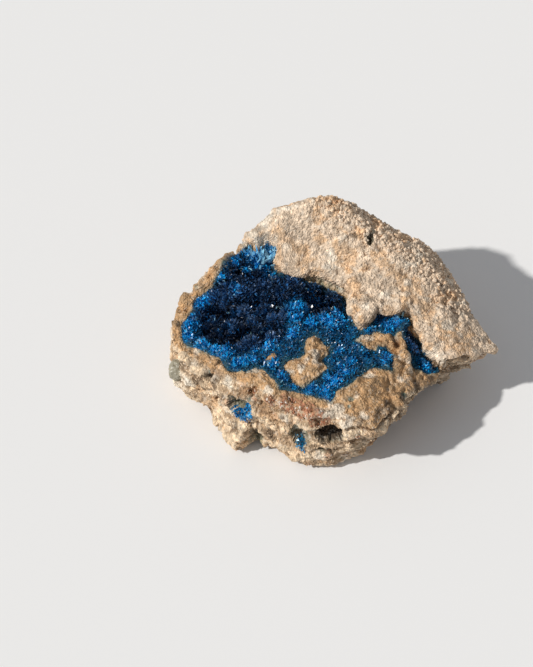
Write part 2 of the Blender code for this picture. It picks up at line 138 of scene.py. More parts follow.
def value_noise(x, y, z):
    """Smooth noise from 0 to 1: the eight corners of each cell, blended by an s-curve."""
    cell = [np.floor(c).astype(np.int64) for c in (x, y, z)]
    part = [c - np.floor(c) for c in (x, y, z)]
    sx, sy, sz = (t * t * (3 - 2 * t) for t in part)
    total = 0.0
    for i in (0, 1):
        for j in (0, 1):
            for k in (0, 1):
                weight = (sx if i else 1 - sx) * (sy if j else 1 - sy) * (sz if k else 1 - sz)
                total = total + weight * lattice(cell[0] + i, cell[1] + j, cell[2] + k)
    return total


def rough(x, y, z, size, octaves=3):
    """Noise from -1 to 1 whose largest lumps measure size, with finer ones at half the height."""
    total, height = 0.0, 0.5
    for octave in range(octaves):
        scale = 2**octave / size
        shift = 17.3 * (octave + 1)
        noise = value_noise(x * scale + shift, y * scale + shift, z * scale + shift)
        total = total + height * (2 * noise - 1)
        height *= 0.5
    return total


def crumbs(x, y, z, size):
    """Cell noise: how far off the nearest seed lies, in cube sides, and the seed's own number."""
    home = [np.floor(c / size).astype(np.int64) for c in (x, y, z)]
    nearest = np.full(np.shape(x), np.inf)
    tone = np.zeros(np.shape(x))
    for i in (-1, 0, 1):
        for j in (-1, 0, 1):
            for k in (-1, 0, 1):
                cx, cy, cz = home[0] + i, home[1] + j, home[2] + k
                away = (x / size - cx - lattice(cx, cy, cz)) ** 2
                away = away + (y / size - cy - lattice(cx + SEED_Y, cy, cz)) ** 2
                away = away + (z / size - cz - lattice(cx, cy + SEED_Z, cz)) ** 2
                tone = np.where(away < nearest, lattice(cx, cy, cz + SEED_TONE), tone)
                nearest = np.minimum(nearest, away)
    return np.sqrt(nearest), tone


def uneven(x, y, z, lumps, octaves=3):
    """Roughness with lumps of the given size and height."""
    size, height = lumps
    return rough(x, y, z, size, octaves) * height


def s_curve(t):
    """From 0 at t = 0 to 1 at t = 1, level at both ends."""
    t = np.clip(t, 0.0, 1.0)
    return t * t * (3 - 2 * t)


away, _ = crumbs(*np.zeros((3, 1)), 1.0)
print("the nearest seed lies", round(float(away[0]), 2), "sides away")

# %% [markdown]
# ## The rock's form
# The form repeats the solid model's own design: stations round the rim, and heights at a few places
# on the top. A thin plate bent through the heights gives the hollow's floor, and a second plate
# gives the cap that lies over it. The same formulas on a finer net follow the solid closely, which
# smoothing its facets wouldn't do.

# %% Driving dimensions, in mm
LENGTH = 50.0 * MM
FLAT_SHARE = 0.72
FOOT_HEIGHT = 0.9 * MM

# The ledge, the island and the let-in bed: how wide each slope is, and how high or deep it goes.
LEDGE_WIDTH = 1.4 * MM
LEDGE_LEAST = 0.5 * MM
ISLAND_SLOPE = 1.2 * MM
ISLAND_RISE = 0.7 * MM
MAIN_SLOPE = 1.6 * MM
GROOVE_SLOPE = 1.2 * MM
CRUST_RECESS = 1.2 * MM

# Unevenness: the size of the largest lumps, then their height.
OUTLINE_LUMPS = (3.5 * MM, 0.3 * MM)
CAP_LUMPS = (5.0 * MM, 0.9 * MM)
TOP_LUMPS = (2.2 * MM, 0.55 * MM)
WALL_LUMPS = (5.0 * MM, 1.0 * MM)
WALL_BEDS = (3.0 * MM, 1.6 * MM)
FOOT_LUMPS = (8.0 * MM, 1.0 * MM)

# Mounds on the hollow's floor: x and y of the middle, reach, height. Then the ridge by the groove:
# x and y of both ends, half width, height. All in mm.
MOUNDS = ((4.6, -13.4, 5.0, 1.0), (-9.8, -11.8, 4.0, 0.8))
RIDGE = (10.6, -0.6, 10.9, -6.4, 1.3, 1.3)
print("the crust is let in by, mm:", CRUST_RECESS / MM)

# %% [markdown]
# The stations are places on the rim, in order, starting at the pointed end. The wall hangs from them:
# halfway down it bellies out, and at the bottom it draws in or stands out. Where it draws in far, the
# rock overhangs its own foot.

# %% Stations round the rim: x, y, height, how far the belly and the foot stand out, in mm
STATIONS = (
    (25.1, -2.5, 9.0, -2.4, -8.0),
    (23.3, 0.2, 9.8, -1.6, -7.0),
    (21.4, 3.0, 10.8, 0.4, -5.0),
    (19.3, 7.2, 12.0, 1.0, -2.0),
    (17.8, 9.9, 13.2, 1.2, -0.5),
    (14.9, 12.6, 15.2, 1.2, 0.5),
    (11.0, 14.0, 17.0, 1.2, 1.0),
    (8.4, 15.2, 17.8, 1.0, 1.5),
    (4.0, 17.6, 18.4, 0.8, 1.0),
    (-3.3, 18.8, 18.6, 0.8, 0.5),
    (-8.8, 17.9, 18.0, 0.8, 0.5),
    (-11.6, 14.9, 17.6, 0.8, 1.0),
    (-14.4, 11.9, 15.4, 1.0, 1.0),
    (-20.4, 8.4, 12.4, 0.8, -0.5),
    (-23.2, 5.6, 11.0, 0.6, -1.0),
    (-24.1, 3.0, 9.9, 0.5, -1.5),
    (-23.9, -1.0, 9.1, 0.5, -1.0),
    (-21.2, -4.2, 9.6, 2.0, 0.5),
    (-17.6, -7.4, 10.2, 1.0, 0.0),
    (-15.0, -9.4, 10.8, 1.0, 1.6),
    (-12.2, -11.4, 11.3, 0.8, 3.4),
    (-11.3, -12.2, 11.4, 0.4, 4.5),
    (-10.6, -12.7, 11.5, 0.0, 1.4),
    (-8.0, -14.2, 11.8, 0.4, 1.2),
    (-3.6, -16.6, 11.4, 0.6, 1.8),
    (-0.6, -17.6, 11.2, 0.6, 1.2),
    (1.8, -18.4, 11.0, 0.4, -1.5),
    (5.6, -19.0, 10.4, -0.4, -4.0),
    (8.6, -15.2, 10.4, -0.6, -4.6),
    (11.6, -11.0, 10.3, -0.2, -4.6),
    (16.6, -6.2, 9.7, -2.2, -6.5),
    (20.8, -4.5, 9.4, -2.8, -9.0),
)
print("stations round the rim:", len(STATIONS))

# %% [markdown]
# The hollow's floor and the cap are known at some places only, where their heights could be judged.
# A few more lie outside the patch that each one is used for, so that it runs out evenly.

# %% Heights of the hollow's floor and of the cap: x, y, z, in mm
FLOOR = (
    (-22.5, 0.5, 9.3), (-18.5, 6.5, 12.0), (-13.5, 10.8, 14.6), (-15.5, 1.5, 10.6),
    (-10.5, 4.5, 11.4), (-6.0, 7.0, 12.2), (-1.5, 4.5, 11.6), (2.0, 1.5, 11.2),
    (-4.0, -1.0, 12.0), (-4.5, -8.0, 12.4), (4.0, -5.0, 11.9), (9.0, -0.5, 11.6),
    (12.0, -3.6, 10.4), (14.0, -6.6, 9.3), (9.4, -7.0, 11.8), (4.8, -12.5, 11.9),
    (8.0, -14.4, 10.8), (-2.0, -14.4, 11.7), (-8.0, -11.6, 11.9), (-15.0, -7.6, 10.7),
    (-20.0, -3.4, 9.9), (22.0, -3.5, 8.6), (12.0, 6.0, 11.4), (0.0, 12.0, 13.0),
)

CAP = (
    (-3.3, 16.2, 22.8), (-8.2, 15.6, 21.0), (2.6, 15.8, 22.0), (7.6, 12.6, 19.6),
    (12.8, 9.6, 16.8), (16.6, 6.0, 14.4), (-11.2, 12.8, 17.6), (-8.0, 10.6, 16.4),
    (-3.5, 12.0, 18.3), (-5.0, 9.6, 15.6), (-0.5, 8.2, 15.4), (3.0, 9.6, 17.4),
    (3.6, 5.6, 15.4), (3.4, 2.4, 14.4), (4.8, -0.8, 13.4), (8.0, 6.0, 16.2), (8.5, 3.0, 14.6),
    (13.0, 3.5, 14.6), (14.6, -0.6, 13.0), (13.2, -4.0, 12.0), (17.0, -2.0, 12.2),
    (16.6, -6.4, 10.8), (21.0, -2.6, 10.4),
)

print("heights are given at", len(FLOOR), "and", len(CAP), "places")

# %% [markdown]
# Seen from above, the cap and the crystals end along outlines that can't be worked out, only drawn.
# The crystals grow in two patches, and bare rock stands in the large one as an island.

# %% Outlines seen from above: x, y, in mm
CAP_OUTLINE = (
    (-19.0, 13.4), (-14.8, 13.8), (-13.0, 13.5), (-9.6, 12.4), (-8.4, 11.2), (-8.1, 9.8),
    (-4.7, 9.1), (-1.1, 8.3), (0.8, 7.4), (2.2, 6.4), (3.1, 5.0), (3.1, 2.3), (2.9, 1.4),
    (3.6, 0.4), (4.5, -0.5), (5.3, 0.3), (6.6, 1.9), (8.4, 2.2), (11.7, 2.5), (12.8, 1.0),
    (12.5, -0.6), (12.8, -2.2), (13.8, -3.9), (15.6, -4.9), (16.8, -7.4), (20.0, -12.0),
    (34.0, -4.0), (28.0, 20.0), (0.0, 32.0), (-20.0, 26.0),
)
DRUSE_OUTLINE = (
    (-22.9, -0.6), (-23.1, 1.3), (-23.0, 2.4), (-21.7, 3.6), (-21.1, 4.4), (-21.2, 5.6),
    (-20.2, 6.3), (-18.3, 7.2), (-17.9, 8.3), (-16.8, 10.4), (-15.6, 11.4), (-14.0, 12.4),
    (-13.0, 12.9), (-11.6, 11.8), (-10.1, 12.0), (-8.9, 10.8), (-8.7, 9.6), (-8.1, 9.0),
    (-4.9, 8.5), (-1.4, 7.7), (0.3, 6.8), (1.7, 5.9), (2.5, 4.9), (2.5, 2.3), (2.3, 1.3),
    (3.3, 0.0), (4.4, -0.9), (5.7, -0.1), (7.0, 1.4), (8.5, 1.6), (11.5, 1.9), (12.0, 1.0),
    (11.0, -0.4), (9.6, -1.2), (8.1, -1.4), (6.7, -1.0), (5.6, -1.8), (4.6, -2.0), (3.4, -3.3),
    (4.3, -3.9), (5.5, -5.2), (6.5, -5.5), (6.9, -4.5), (8.1, -4.6), (8.9, -6.4), (9.1, -8.0),
    (8.8, -9.3), (7.4, -8.9), (5.7, -9.1), (4.4, -10.0), (3.4, -11.7), (1.5, -12.8),
    (0.4, -13.6), (-0.5, -15.1), (-1.7, -14.5), (-4.8, -13.6), (-8.1, -13.0), (-8.3, -12.1),
    (-9.5, -10.6), (-10.4, -8.6), (-11.5, -8.0), (-13.2, -8.9), (-15.8, -8.2), (-16.7, -6.5),
    (-17.3, -5.4), (-18.8, -4.4), (-21.0, -2.9), (-22.2, -1.7),
)
ISLAND_OUTLINE = (
    (-3.0, -2.5), (-2.1, -2.8), (-1.5, -4.5), (-0.6, -4.5), (-0.9, -6.3), (-1.8, -7.5),
    (-1.1, -9.5), (-2.5, -11.0), (-4.4, -12.6), (-5.6, -12.2), (-6.3, -10.9), (-7.4, -8.6),
    (-7.1, -7.7), (-5.2, -7.2), (-4.2, -6.2), (-3.9, -3.5),
)
GROOVE_OUTLINE = (
    (10.9, -0.9), (12.2, -2.3), (13.1, -3.8), (13.4, -4.5), (15.1, -5.5), (15.6, -6.5),
    (14.4, -7.2), (13.1, -7.5), (12.1, -6.4), (11.6, -4.1), (11.0, -2.1),
)

print("the crystals' outline has", len(DRUSE_OUTLINE), "corners")

# %% [markdown]
# Weather has eaten pits into the wall. Most are round hollows, one is a flat slit between beds, one
# is a tall notch at the foot, and one is a narrow cleft in the cap. Each is an ellipsoid here, made
# uneven when it is cut.

# %% Pits: middle, three radii in mm, and how dark the painted shade inside each is
PITS = (
    ((-14.3, -12.6, 7.2), (2.5, 2.5, 1.6), 0.45),
    ((-5.0, -17.4, 6.1), (1.9, 2.3, 1.9), 0.10),
    ((-0.5, -18.8, 7.7), (2.3, 3.3, 1.9), 1.0),
    ((-18.5, -7.6, 8.6), (1.7, 0.85, 0.95), 1.0),
    ((-11.8, -15.4, 2.0), (1.5, 2.6, 3.4), 0.5),
    ((-0.9, -19.9, 4.2), (2.8, 2.3, 0.6), 1.0),
    ((5.8, 11.1, 19.6), (0.6, 1.3, 1.8), 0.8),
)
LEFT_PIT, FRONT_PIT = PITS[0], PITS[1]
NODULE = ((-23.3, -3.4, 5.7), (1.6, 1.7, 1.6))
print("pits and clefts:", len(PITS))

# %% [markdown]
# An outline is ragged in nature, so each place is pushed about a little before it is tested against
# the drawn outline. The distance to the outline is kept, not only inside or outside, because soft
# edges, ledges and stains can all be made from it.

# %% Outlines and plates


def depth_inside(x, y, outline):
    """The distance from each point to an outline's nearest edge, positive inside it."""
    corners = np.array(outline, float) * MM
    nearest = np.full(np.shape(x), np.inf)
    inside = np.zeros(np.shape(x), bool)
    for (ax, ay), (bx, by) in zip(corners, np.roll(corners, -1, axis=0)):
        ex, ey = bx - ax, by - ay
        along = np.clip(((x - ax) * ex + (y - ay) * ey) / (ex * ex + ey * ey), 0, 1)
        nearest = np.minimum(nearest, np.hypot(x - ax - along * ex, y - ay - along * ey))
        crosses = (ay > y) != (by > y)
        level = np.where(crosses, (y - ay) / (ey if ey else 1.0), 0.0)
        inside ^= crosses & (x < ax + level * ex)
    return np.where(inside, nearest, -nearest)


def bent_plate(points):
    """A function giving the height of a thin plate bent through the points."""
    known = np.array(points, float) * MM
    spread = LENGTH / 2

    def kernel(dx, dy):
        r2 = (dx * dx + dy * dy) / spread**2
        return r2 * np.log(r2 + 1e-12)

    count = len(known)
    system = np.zeros((count + 3, count + 3))
    system[:count, :count] = kernel(*(known[:, None, k] - known[None, :, k] for k in (0, 1)))
    plane = np.column_stack([np.ones(count), known[:, :2] / spread])
    system[:count, count:] = plane
    system[count:, :count] = plane.T
    weights = np.linalg.solve(system, np.append(known[:, 2], np.zeros(3)))

    def height(x, y):
        total = weights[count] + (weights[count + 1] * x + weights[count + 2] * y) / spread
        for (px, py, _), weight in zip(known, weights):
            total = total + weight * kernel(x - px, y - py)
        return total

    return height


STATION_ANGLES = np.array([math.atan2(s[1], s[0]) for s in STATIONS])
FLOOR_PLATE = bent_plate(FLOOR)
CAP_PLATE = bent_plate(CAP + tuple(s[:3] for s in STATIONS[:12]))


def around(angle, values):
    """Values given at the stations, read at any angle round the specimen."""
    return np.interp(angle, STATION_ANGLES, values, period=2 * math.pi)


def wander(x, y):
    """Both coordinates pushed about a little, so that an outline read there has a ragged edge."""
    return x + uneven(x, y, 0 * x, OUTLINE_LUMPS), y + uneven(y, x, 0 * x + 1.0, OUTLINE_LUMPS)


# Where the crystals spread past their outline, or stay short of it: x, y, radius, extra, in mm.
SPREADS = (
    (-6.4, 9.2, 2.6, 0.7), (-9.9, 11.8, 1.3, 0.9), (-8.2, 11.3, 1.2, 0.8), (3.4, 1.4, 1.8, 0.5),
    (7.4, 1.9, 3.0, 0.9), (9.4, -1.2, 2.4, 0.4), (-9.4, -6.5, 0.6, -3.6),
    (-8.8, -6.2, 0.5, -3.0), (5.8, -2.9, 1.2, -0.5), (-14.4, 13.1, 1.5, -1.4),
)
GROOVE_SPREADS = (
    (12.4, -2.0, 2.2, 1.0),
    (14.2, -5.0, 1.6, 0.3),
)
GROOVE_SPREAD = 0.4 * MM

# The crystals' margin: its width, which is also the size of its ragged places, and how far these go.
MARGIN = 0.9 * MM
MARGIN_RAGGEDNESS = 0.3 * MM

# Places where the cap reaches past its outline, or stays short of it.
CAP_SPREADS = (
    (12.9, -1.8, 2.2, -0.9),
    (5.6, 0.4, 1.0, 0.25),
    (3.3, 0.6, 0.9, -0.3),
    (16.2, -6.6, 1.2, -0.8),
)


def extras(x, y, spreads):
    """What the spreads add to the distance at each place; the edge of each fades out raggedly."""
    total = 0 * x
    shift = rough(x, y, 0 * x + 7.0, MARGIN) * 0.5
    for px, py, radius, extra in spreads:
        away = np.hypot(x - px * MM, y - py * MM) / (radius * MM)
        total = total + extra * MM * s_curve(1.2 - away + shift)
    return total


def main_patch(x, y):
    """How far each place lies inside the large patch of crystals, and clear of its island."""
    wx, wy = wander(x, y)
    inside = np.minimum(depth_inside(wx, wy, DRUSE_OUTLINE), -depth_inside(wx, wy, ISLAND_OUTLINE))
    return inside + extras(wx, wy, SPREADS)


def groove_patch(x, y):
    """How far each place lies inside the small patch in the side groove."""
    wx, wy = wander(x, y)
    return depth_inside(wx, wy, GROOVE_OUTLINE) + GROOVE_SPREAD + extras(wx, wy, GROOVE_SPREADS)


def cap_depth(x, y):
    """How far each place lies inside the cap's outline."""
    wx, wy = wander(x, y)
    return depth_inside(wx, wy, CAP_OUTLINE) + extras(wx, wy, CAP_SPREADS)


print("hollow's floor in the middle, mm:", round(float(FLOOR_PLATE(0.0, 0.0)) / MM, 2))

# %% [markdown]
# The top is a height over the plan. The crystals' bed is let into it, two mounds and a sharp ridge
# stand on it, and the cap lies over it with a steep broken edge. The crystals hide their bed, so the
# rock is kept smooth there.

# %% Height of the top


def mound(x, y, place_x, place_y, reach, height):
    """A round-topped mound of that height, with its foot that far from its middle."""
    t = np.hypot(x - place_x * MM, y - place_y * MM) / (reach * MM)
    return height * MM * s_curve(1 - t)


def ridge(x, y, start_x, start_y, end_x, end_y, width, height):
    """A sharp-backed ridge between two places."""
    ax, ay, bx, by = (c * MM for c in (start_x, start_y, end_x, end_y))
    ex, ey = bx - ax, by - ay
    along = np.clip(((x - ax) * ex + (y - ay) * ey) / (ex * ex + ey * ey), 0, 1)
    away = np.hypot(x - ax - along * ex, y - ay - along * ey) / (width * MM)
    return height * MM * np.clip(1 - away, 0, 1)


def upper_side(x, y):
    """The top's height, and the cap's share of each place, from 0 in the hollow to 1 on the cap."""
    wx, wy = wander(x, y)
    floor = FLOOR_PLATE(x, y)
    for numbers in MOUNDS:
        floor = floor + mound(x, y, *numbers)
    floor = floor + ridge(x, y, *RIDGE)
    floor = floor + s_curve(depth_inside(wx, wy, ISLAND_OUTLINE) / ISLAND_SLOPE) * ISLAND_RISE
    cap = CAP_PLATE(x, y) + uneven(x, y, 0 * x, CAP_LUMPS)
    share = s_curve(cap_depth(x, y) / LEDGE_WIDTH + 0.5)
    height = floor + share * np.maximum(cap - floor, LEDGE_LEAST)
    height = height - s_curve(main_patch(x, y) / MAIN_SLOPE) * CRUST_RECESS
    height = height - s_curve(groove_patch(x, y) / GROOVE_SLOPE) * CRUST_RECESS
    return height + uneven(x, y, 0 * x + 2.0, TOP_LUMPS), share


print("top at the origin, mm:", round(float(upper_side(np.zeros(1), np.zeros(1))[0][0]) / MM, 2))

# %% [markdown]
# ## The rock's net
# A square net pressed into a disc covers the top without a pole. Rings run down the wall from its
# edge, then inwards under the foot to the flat underside. Every ring has as many points as the net
# has along its edge, so the surface closes with no seam.

# %% Net of the whole rock
TOP_CELLS = 220
WALL_ROWS = 44
FOOT_ROWS = 3
FLAT_ROWS = 5
FOOT_CURVE = 1.3


def square_to_disc(a, b):
    """Turns a square's coordinates, -1 to 1, into a disc's radius, 0 to 1, and angle."""
    wide = np.abs(a) >= np.abs(b)
    reach = np.where(wide, a, b)
    safe = np.where(reach == 0, 1.0, reach)
    turn = np.where(wide, b / safe * math.pi / 4, math.pi / 2 - a / safe * math.pi / 4)
    return np.abs(reach), np.where(reach < 0, turn + math.pi, turn)


def plan_net(cells):
    """Plan positions over the top, (cells + 1) by (cells + 1): the disc stretched out to the rim."""
    line = np.linspace(-1, 1, cells + 1)
    a, b = np.meshgrid(line, line, indexing="ij")
    radius, angle = square_to_disc(a, b)
    reach = radius * around(angle, [math.hypot(s[0], s[1]) for s in STATIONS]) * MM
    return reach * np.cos(angle), reach * np.sin(angle)


def net_quads(index):
    """The four corners of every cell of a rectangular array of point numbers."""
    corners = (index[:-1, :-1], index[1:, :-1], index[1:, 1:], index[:-1, 1:])
    return np.column_stack([c.ravel() for c in corners])


def net_edge(index):
    """The net's edge points, anticlockwise seen from above, starting at one corner."""
    return np.concatenate([index[:-1, 0], index[-1, :-1], index[:0:-1, -1], index[0, :0:-1]])


def wall_ring(share, start, angle, foot_z):
    """One level of the wall: share is 0 at the rim and 1 at the foot."""
    belly = around(angle, [s[3] for s in STATIONS]) * MM
    foot = around(angle, [s[4] for s in STATIONS]) * MM
    radius = np.hypot(start[:, 0], start[:, 1])
    radius = radius + 4 * share * (1 - share) * belly + share**FOOT_CURVE * foot
    z = start[:, 2] * (1 - share)
    x, y = radius * np.cos(angle), radius * np.sin(angle)
    beds = uneven(x * 0.5, y * 0.5, z * 1.6, WALL_BEDS)
    jut = (beds + uneven(x, y, z, WALL_LUMPS)) * min(1.0, 5 * share)
    z = z + foot_z * np.clip(7 * share - 6, 0, 1)
    return np.column_stack([x + jut * np.cos(angle), y + jut * np.sin(angle), z])


def rock_net():
    """Points, quads and the closing fan of the whole rock, and the cap's share at the top's points."""
    x, y = plan_net(TOP_CELLS)
    z, share = upper_side(x, y)
    top = np.column_stack([x.ravel(), y.ravel(), z.ravel()])
    index = np.arange(len(top)).reshape(x.shape)
    edge = net_edge(index)
    start = top[edge]
    angle = np.arctan2(start[:, 1], start[:, 0])
    foot_z = FOOT_HEIGHT + uneven(start[:, 0], start[:, 1], 0 * angle, FOOT_LUMPS)
    rings = [wall_ring(row / WALL_ROWS, start, angle, foot_z) for row in range(1, WALL_ROWS + 1)]
    foot = rings[-1]
    for row in range(1, FOOT_ROWS + 1):
        t = row / FOOT_ROWS
        rings.append(foot * [1 - (1 - FLAT_SHARE) * t, 1 - (1 - FLAT_SHARE) * t, 1 - t])
    for row in range(1, FLAT_ROWS):
        t = FLAT_SHARE * (1 - row / FLAT_ROWS)
        rings.append(foot * [t, t, 0.0])
    points = np.concatenate([top, *rings, [[0.0, 0.0, 0.0]]])
    count = len(edge)
    levels = np.concatenate([[edge], len(top) + np.arange(count * len(rings)).reshape(-1, count)])
    levels = np.concatenate([levels, levels[:, :1]], axis=1)
    quads = np.concatenate([net_quads(index), net_quads(levels)])
    last = levels[-1]
    fan = np.column_stack([last[:-1], np.full(count, len(points) - 1), last[1:]])
    return points, quads, fan, share.ravel()


print("cells round the rim:", 4 * TOP_CELLS)

# %% [markdown]
# Three helpers turn arrays into pieces. The meshes are filled whole, from flat arrays, because adding
# a hundred thousand faces one by one would take minutes. Every mask is stored on the points, so the
# materials can read it wherever the piece goes.

# %% Mesh helpers


def corner_normals(points, faces):
    """A unit normal for each point: the sum of its faces' area normals."""
    a, b, c = (points[faces[:, k]] for k in (0, 1, 2))
    across = np.cross(b - a, c - a)
    total = np.zeros_like(points)
    for k in range(faces.shape[1]):
        for axis in range(3):
            total[:, axis] += np.bincount(faces[:, k], across[:, axis], len(points))
    return total / np.maximum(np.linalg.norm(total, axis=1, keepdims=True), 1e-12)


def new_piece(name, points, face_sets, smooth):
    """A mesh object at the origin from points and arrays of three- or four-cornered faces."""
    mesh = bpy.data.meshes.new(name)
    sizes = np.concatenate([np.full(len(f), f.shape[1]) for f in face_sets])
    corners = np.concatenate([f.ravel() for f in face_sets]).astype(np.int32)
    mesh.vertices.add(len(points))
    mesh.vertices.foreach_set("co", np.asarray(points, np.float32).ravel())
    mesh.loops.add(len(corners))
    mesh.loops.foreach_set("vertex_index", corners)
    mesh.polygons.add(len(sizes))
    starts = np.concatenate([[0], np.cumsum(sizes)[:-1]]).astype(np.int32)
    mesh.polygons.foreach_set("loop_start", starts)
    mesh.polygons.foreach_set("use_smooth", np.full(len(sizes), smooth))
    mesh.update(calc_edges=True)
    mesh.validate()
    obj = bpy.data.objects.new(name, mesh)
    bpy.context.scene.collection.objects.link(obj)
    return obj


def paint(obj, masks):
    """Stores each mask, one number per point, as an attribute of that name."""
    for name, values in masks.items():
        attribute = obj.data.attributes.new(name, "FLOAT", "POINT")
        attribute.data.foreach_set("value", np.asarray(values, np.float32))


def place(obj, material, slot, *nodes):
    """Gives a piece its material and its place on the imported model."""
    obj.data.materials.append(material)
    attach(obj, "root")
    if nodes:
        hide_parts(*nodes)
    triangles = sum(len(p.vertices) - 2 for p in obj.data.polygons)
    print(obj.name, triangles, "triangles")


print("mesh helpers are ready")

# %% [markdown]
# ## Relief of the rock
# The net already has the form. What is added here is what the eye reads as rock. The cap's lip leans
# out over the hollow, pits are bitten into the wall, lumps stand on the rim, bedding runs along the
# wall as ledges, and crumbs and pores break up every open surface. Most of it pushes along the
# normals, so it stands out sideways too, and the rim gets a broken silhouette.

# %% Form details
# The cap's lip: how far it leans, over what height and depth it does so, and how uneven it is.
LIP_REACH = 0.8 * MM
LIP_FULL_RISE = 2.5 * MM
LIP_DEPTH = 2.0 * MM
LIP_INSET = 0.4 * MM
LIP_LUMPS = 1.6 * MM

# The lip leans only well inside the rim: half the length and half the width of that part.
LIP_PART = (26 * MM, 20 * MM)

# How far a point has to travel out of a pit before it is wholly lined, and wholly dark with painted
# shade.
LINED_DEPTH = 0.5 * MM
DARK_DEPTH = 0.8 * MM

# Where the lip leans out further: x, y, radius, extra, in mm.
LIP_EXTRAS = (
    (-6.0, 8.8, 2.6, 1.0),
    (-9.8, 11.8, 2.2, -0.9),
    (8.8, 2.8, 2.4, 0.5),
    (13.2, -3.6, 3.0, -0.9),
    (16.2, -6.2, 2.6, -1.2),
)

# Lumps on the rock: x, y, z of the middle, radius, height, in mm.
LUMPS = (
    (-14.4, 15.0, 15.4, 3.6, 0.6),
    (-16.8, 12.0, 13.8, 2.6, 0.7),
    (-18.6, 10.0, 13.0, 1.2, 0.3),
    (8.9, -14.6, 8.8, 1.9, 1.0),
    (7.2, -16.8, 8.0, 1.6, 0.8),
    (5.0, -18.4, 6.5, 1.4, 0.5),
    (-22.5, 6.0, 11.0, 1.3, 0.3),
    (-23.4, 4.3, 10.2, 0.8, 0.4),
    (-23.9, 2.3, 9.5, 0.8, 0.4),
    (-21.7, -5.7, 5.8, 1.7, 0.4),
    (-20.4, -5.6, 8.4, 0.8, 0.4),
    (-22.2, -3.4, 8.4, 0.9, 0.4),
    (-17.9, -6.6, 10.4, 0.7, 0.4),
    (-15.2, -9.2, 10.2, 0.9, 0.3),
    (-7.2, -15.3, 8.3, 1.1, 0.4),
    (9.2, -8.3, 11.8, 0.9, 0.4),
    (11.2, -8.4, 10.9, 0.7, 0.4),
    (1.2, -18.0, 10.8, 0.9, 0.4),
    (-3.4, -17.0, 10.2, 0.8, 0.3),
)


def lean_lip(points, share):
    """Pushes the upper part of the cap's broken edge out over the hollow, further at some places."""
    x, y = points[:, 0], points[:, 1]
    step = 0.2 * MM
    gx = cap_depth(x + step, y) - cap_depth(x - step, y)
    gy = cap_depth(x, y + step) - cap_depth(x, y - step)
    size = np.maximum(np.hypot(gx, gy), 1e-9)
    rise = np.clip((CAP_PLATE(x, y) - FLOOR_PLATE(x, y)) / LIP_FULL_RISE, 0, 1)
    near = 1 - s_curve((cap_depth(x, y) - LIP_INSET) / LIP_DEPTH)
    reach = LIP_REACH * (1 + 0.8 * rough(x, y, 0 * x + 4.0, LIP_LUMPS))
    for px, py, radius, extra in LIP_EXTRAS:
        reach = reach + extra * MM * s_curve(1.3 - np.hypot(x - px * MM, y - py * MM) / (radius * MM))
    inner = np.clip((1 - np.hypot(x / LIP_PART[0], y / LIP_PART[1])) * 8, 0, 1)
    push = np.maximum(reach, 0) * s_curve((share - 0.3) / 0.4) * near * rise * inner
    return points - np.column_stack([gx / size * push, gy / size * push, 0 * x])


def bite_pits(points, count_top):
    """Moves points inside a pit out through its wall, and tells how deep each lies and how dark its
    painted shade is.

    They move down on the top and inwards on the wall. The way out is the far root of the ellipsoid's
    quadratic along that direction.
    """
    cavity, painted_pit_shade = np.zeros((2, len(points)))
    inwards = -points * [1.0, 1.0, 0.0]
    inwards /= np.maximum(np.linalg.norm(inwards, axis=1, keepdims=True), 1e-9)
    inwards[:count_top] = [0.0, 0.0, -1.0]
    for middle, radii, darkness in PITS:
        size = np.array(radii) * MM
        uneven_size = 1 + 0.22 * rough(*points.T, 1.6 * MM, 2)[:, None]
        start = (points - np.array(middle) * MM) / (size * uneven_size)
        step = inwards / (size * uneven_size)
        a = np.maximum((step**2).sum(axis=1), 1e-9)
        b = (start * step).sum(axis=1)
        c = (start**2).sum(axis=1) - 1
        travel = np.where(c < 0, (-b + np.sqrt(np.maximum(b * b - a * c, 0))) / a, 0.0)
        points = points + inwards * travel[:, None]
        cavity = np.maximum(cavity, s_curve(travel / LINED_DEPTH))
        painted_pit_shade = np.maximum(painted_pit_shade, s_curve(travel / DARK_DEPTH) * darkness)
    return points, cavity, painted_pit_shade


def swollen(points, normals):
    """Adds the lumps along the normals."""
    lift = np.zeros(len(points))
    shift = rough(*points.T, 1.1 * MM) * 0.9
    for x, y, z, radius, height in LUMPS:
        away = np.linalg.norm(points - np.array([x, y, z]) * MM, axis=1) / (radius * MM)
        lift = np.maximum(lift, s_curve(1.5 - away * 1.2 + shift) * height * MM)
    return points + normals * lift[:, None]


# %% [markdown]
# The lip leans first, and the pits are bitten out of what then stands. The lumps go on last, along
# the normals of that form, so that no pit cuts a lump away.

# %% The rock's form, made
points, quads, fan, cap_share = rock_net()
COUNT_TOP = len(cap_share)
points[:COUNT_TOP] = lean_lip(points[:COUNT_TOP], cap_share)
points, cavity, painted_pit_shade = bite_pits(points, COUNT_TOP)
points = swollen(points, corner_normals(points, quads))
print("rock net:", len(points), "points")

# %% [markdown]
# The crumbs differ from place to place. The cap is smooth on the left and coarse at the upper right,
# the wall is full of pores, and the wall under the pointed end splits into thin sheets. How loose
# each place is decides how high its crumbs stand. The depth of the hollows between them is kept as a
# mask, which darkens them with painted shade.

# %% Zones of the surface
# The middle line of the knobbly band on the cap, in mm.
KNOB_LINE = ((0.8, 16.4), (6.0, 14.2), (13.5, 10.4), (18.4, 5.6))

# The middle line of the folded rock left of the groove, in mm.
FOLD_LINE = ((10.4, -1.5), (10.6, -6.4), (9.6, -10.0))

# How far the knobs reach from their line, the crystals' edge fades, and their stain runs out.
KNOB_REACH = 3.6 * MM
DRUSE_FADE = 0.35 * MM
STAIN_REACH = 0.8 * MM

# The way that the sheets under the pointed end face, and half the angle they take up, in radians.
SHEETS_FACE, SHEETS_HALF = -0.60, 0.85

# How loose each kind of place is.
CAP_LOOSE, KNOBS_LOOSE, FLOOR_LOOSE, WALL_LOOSE = 0.30, 0.70, 0.42, 0.85


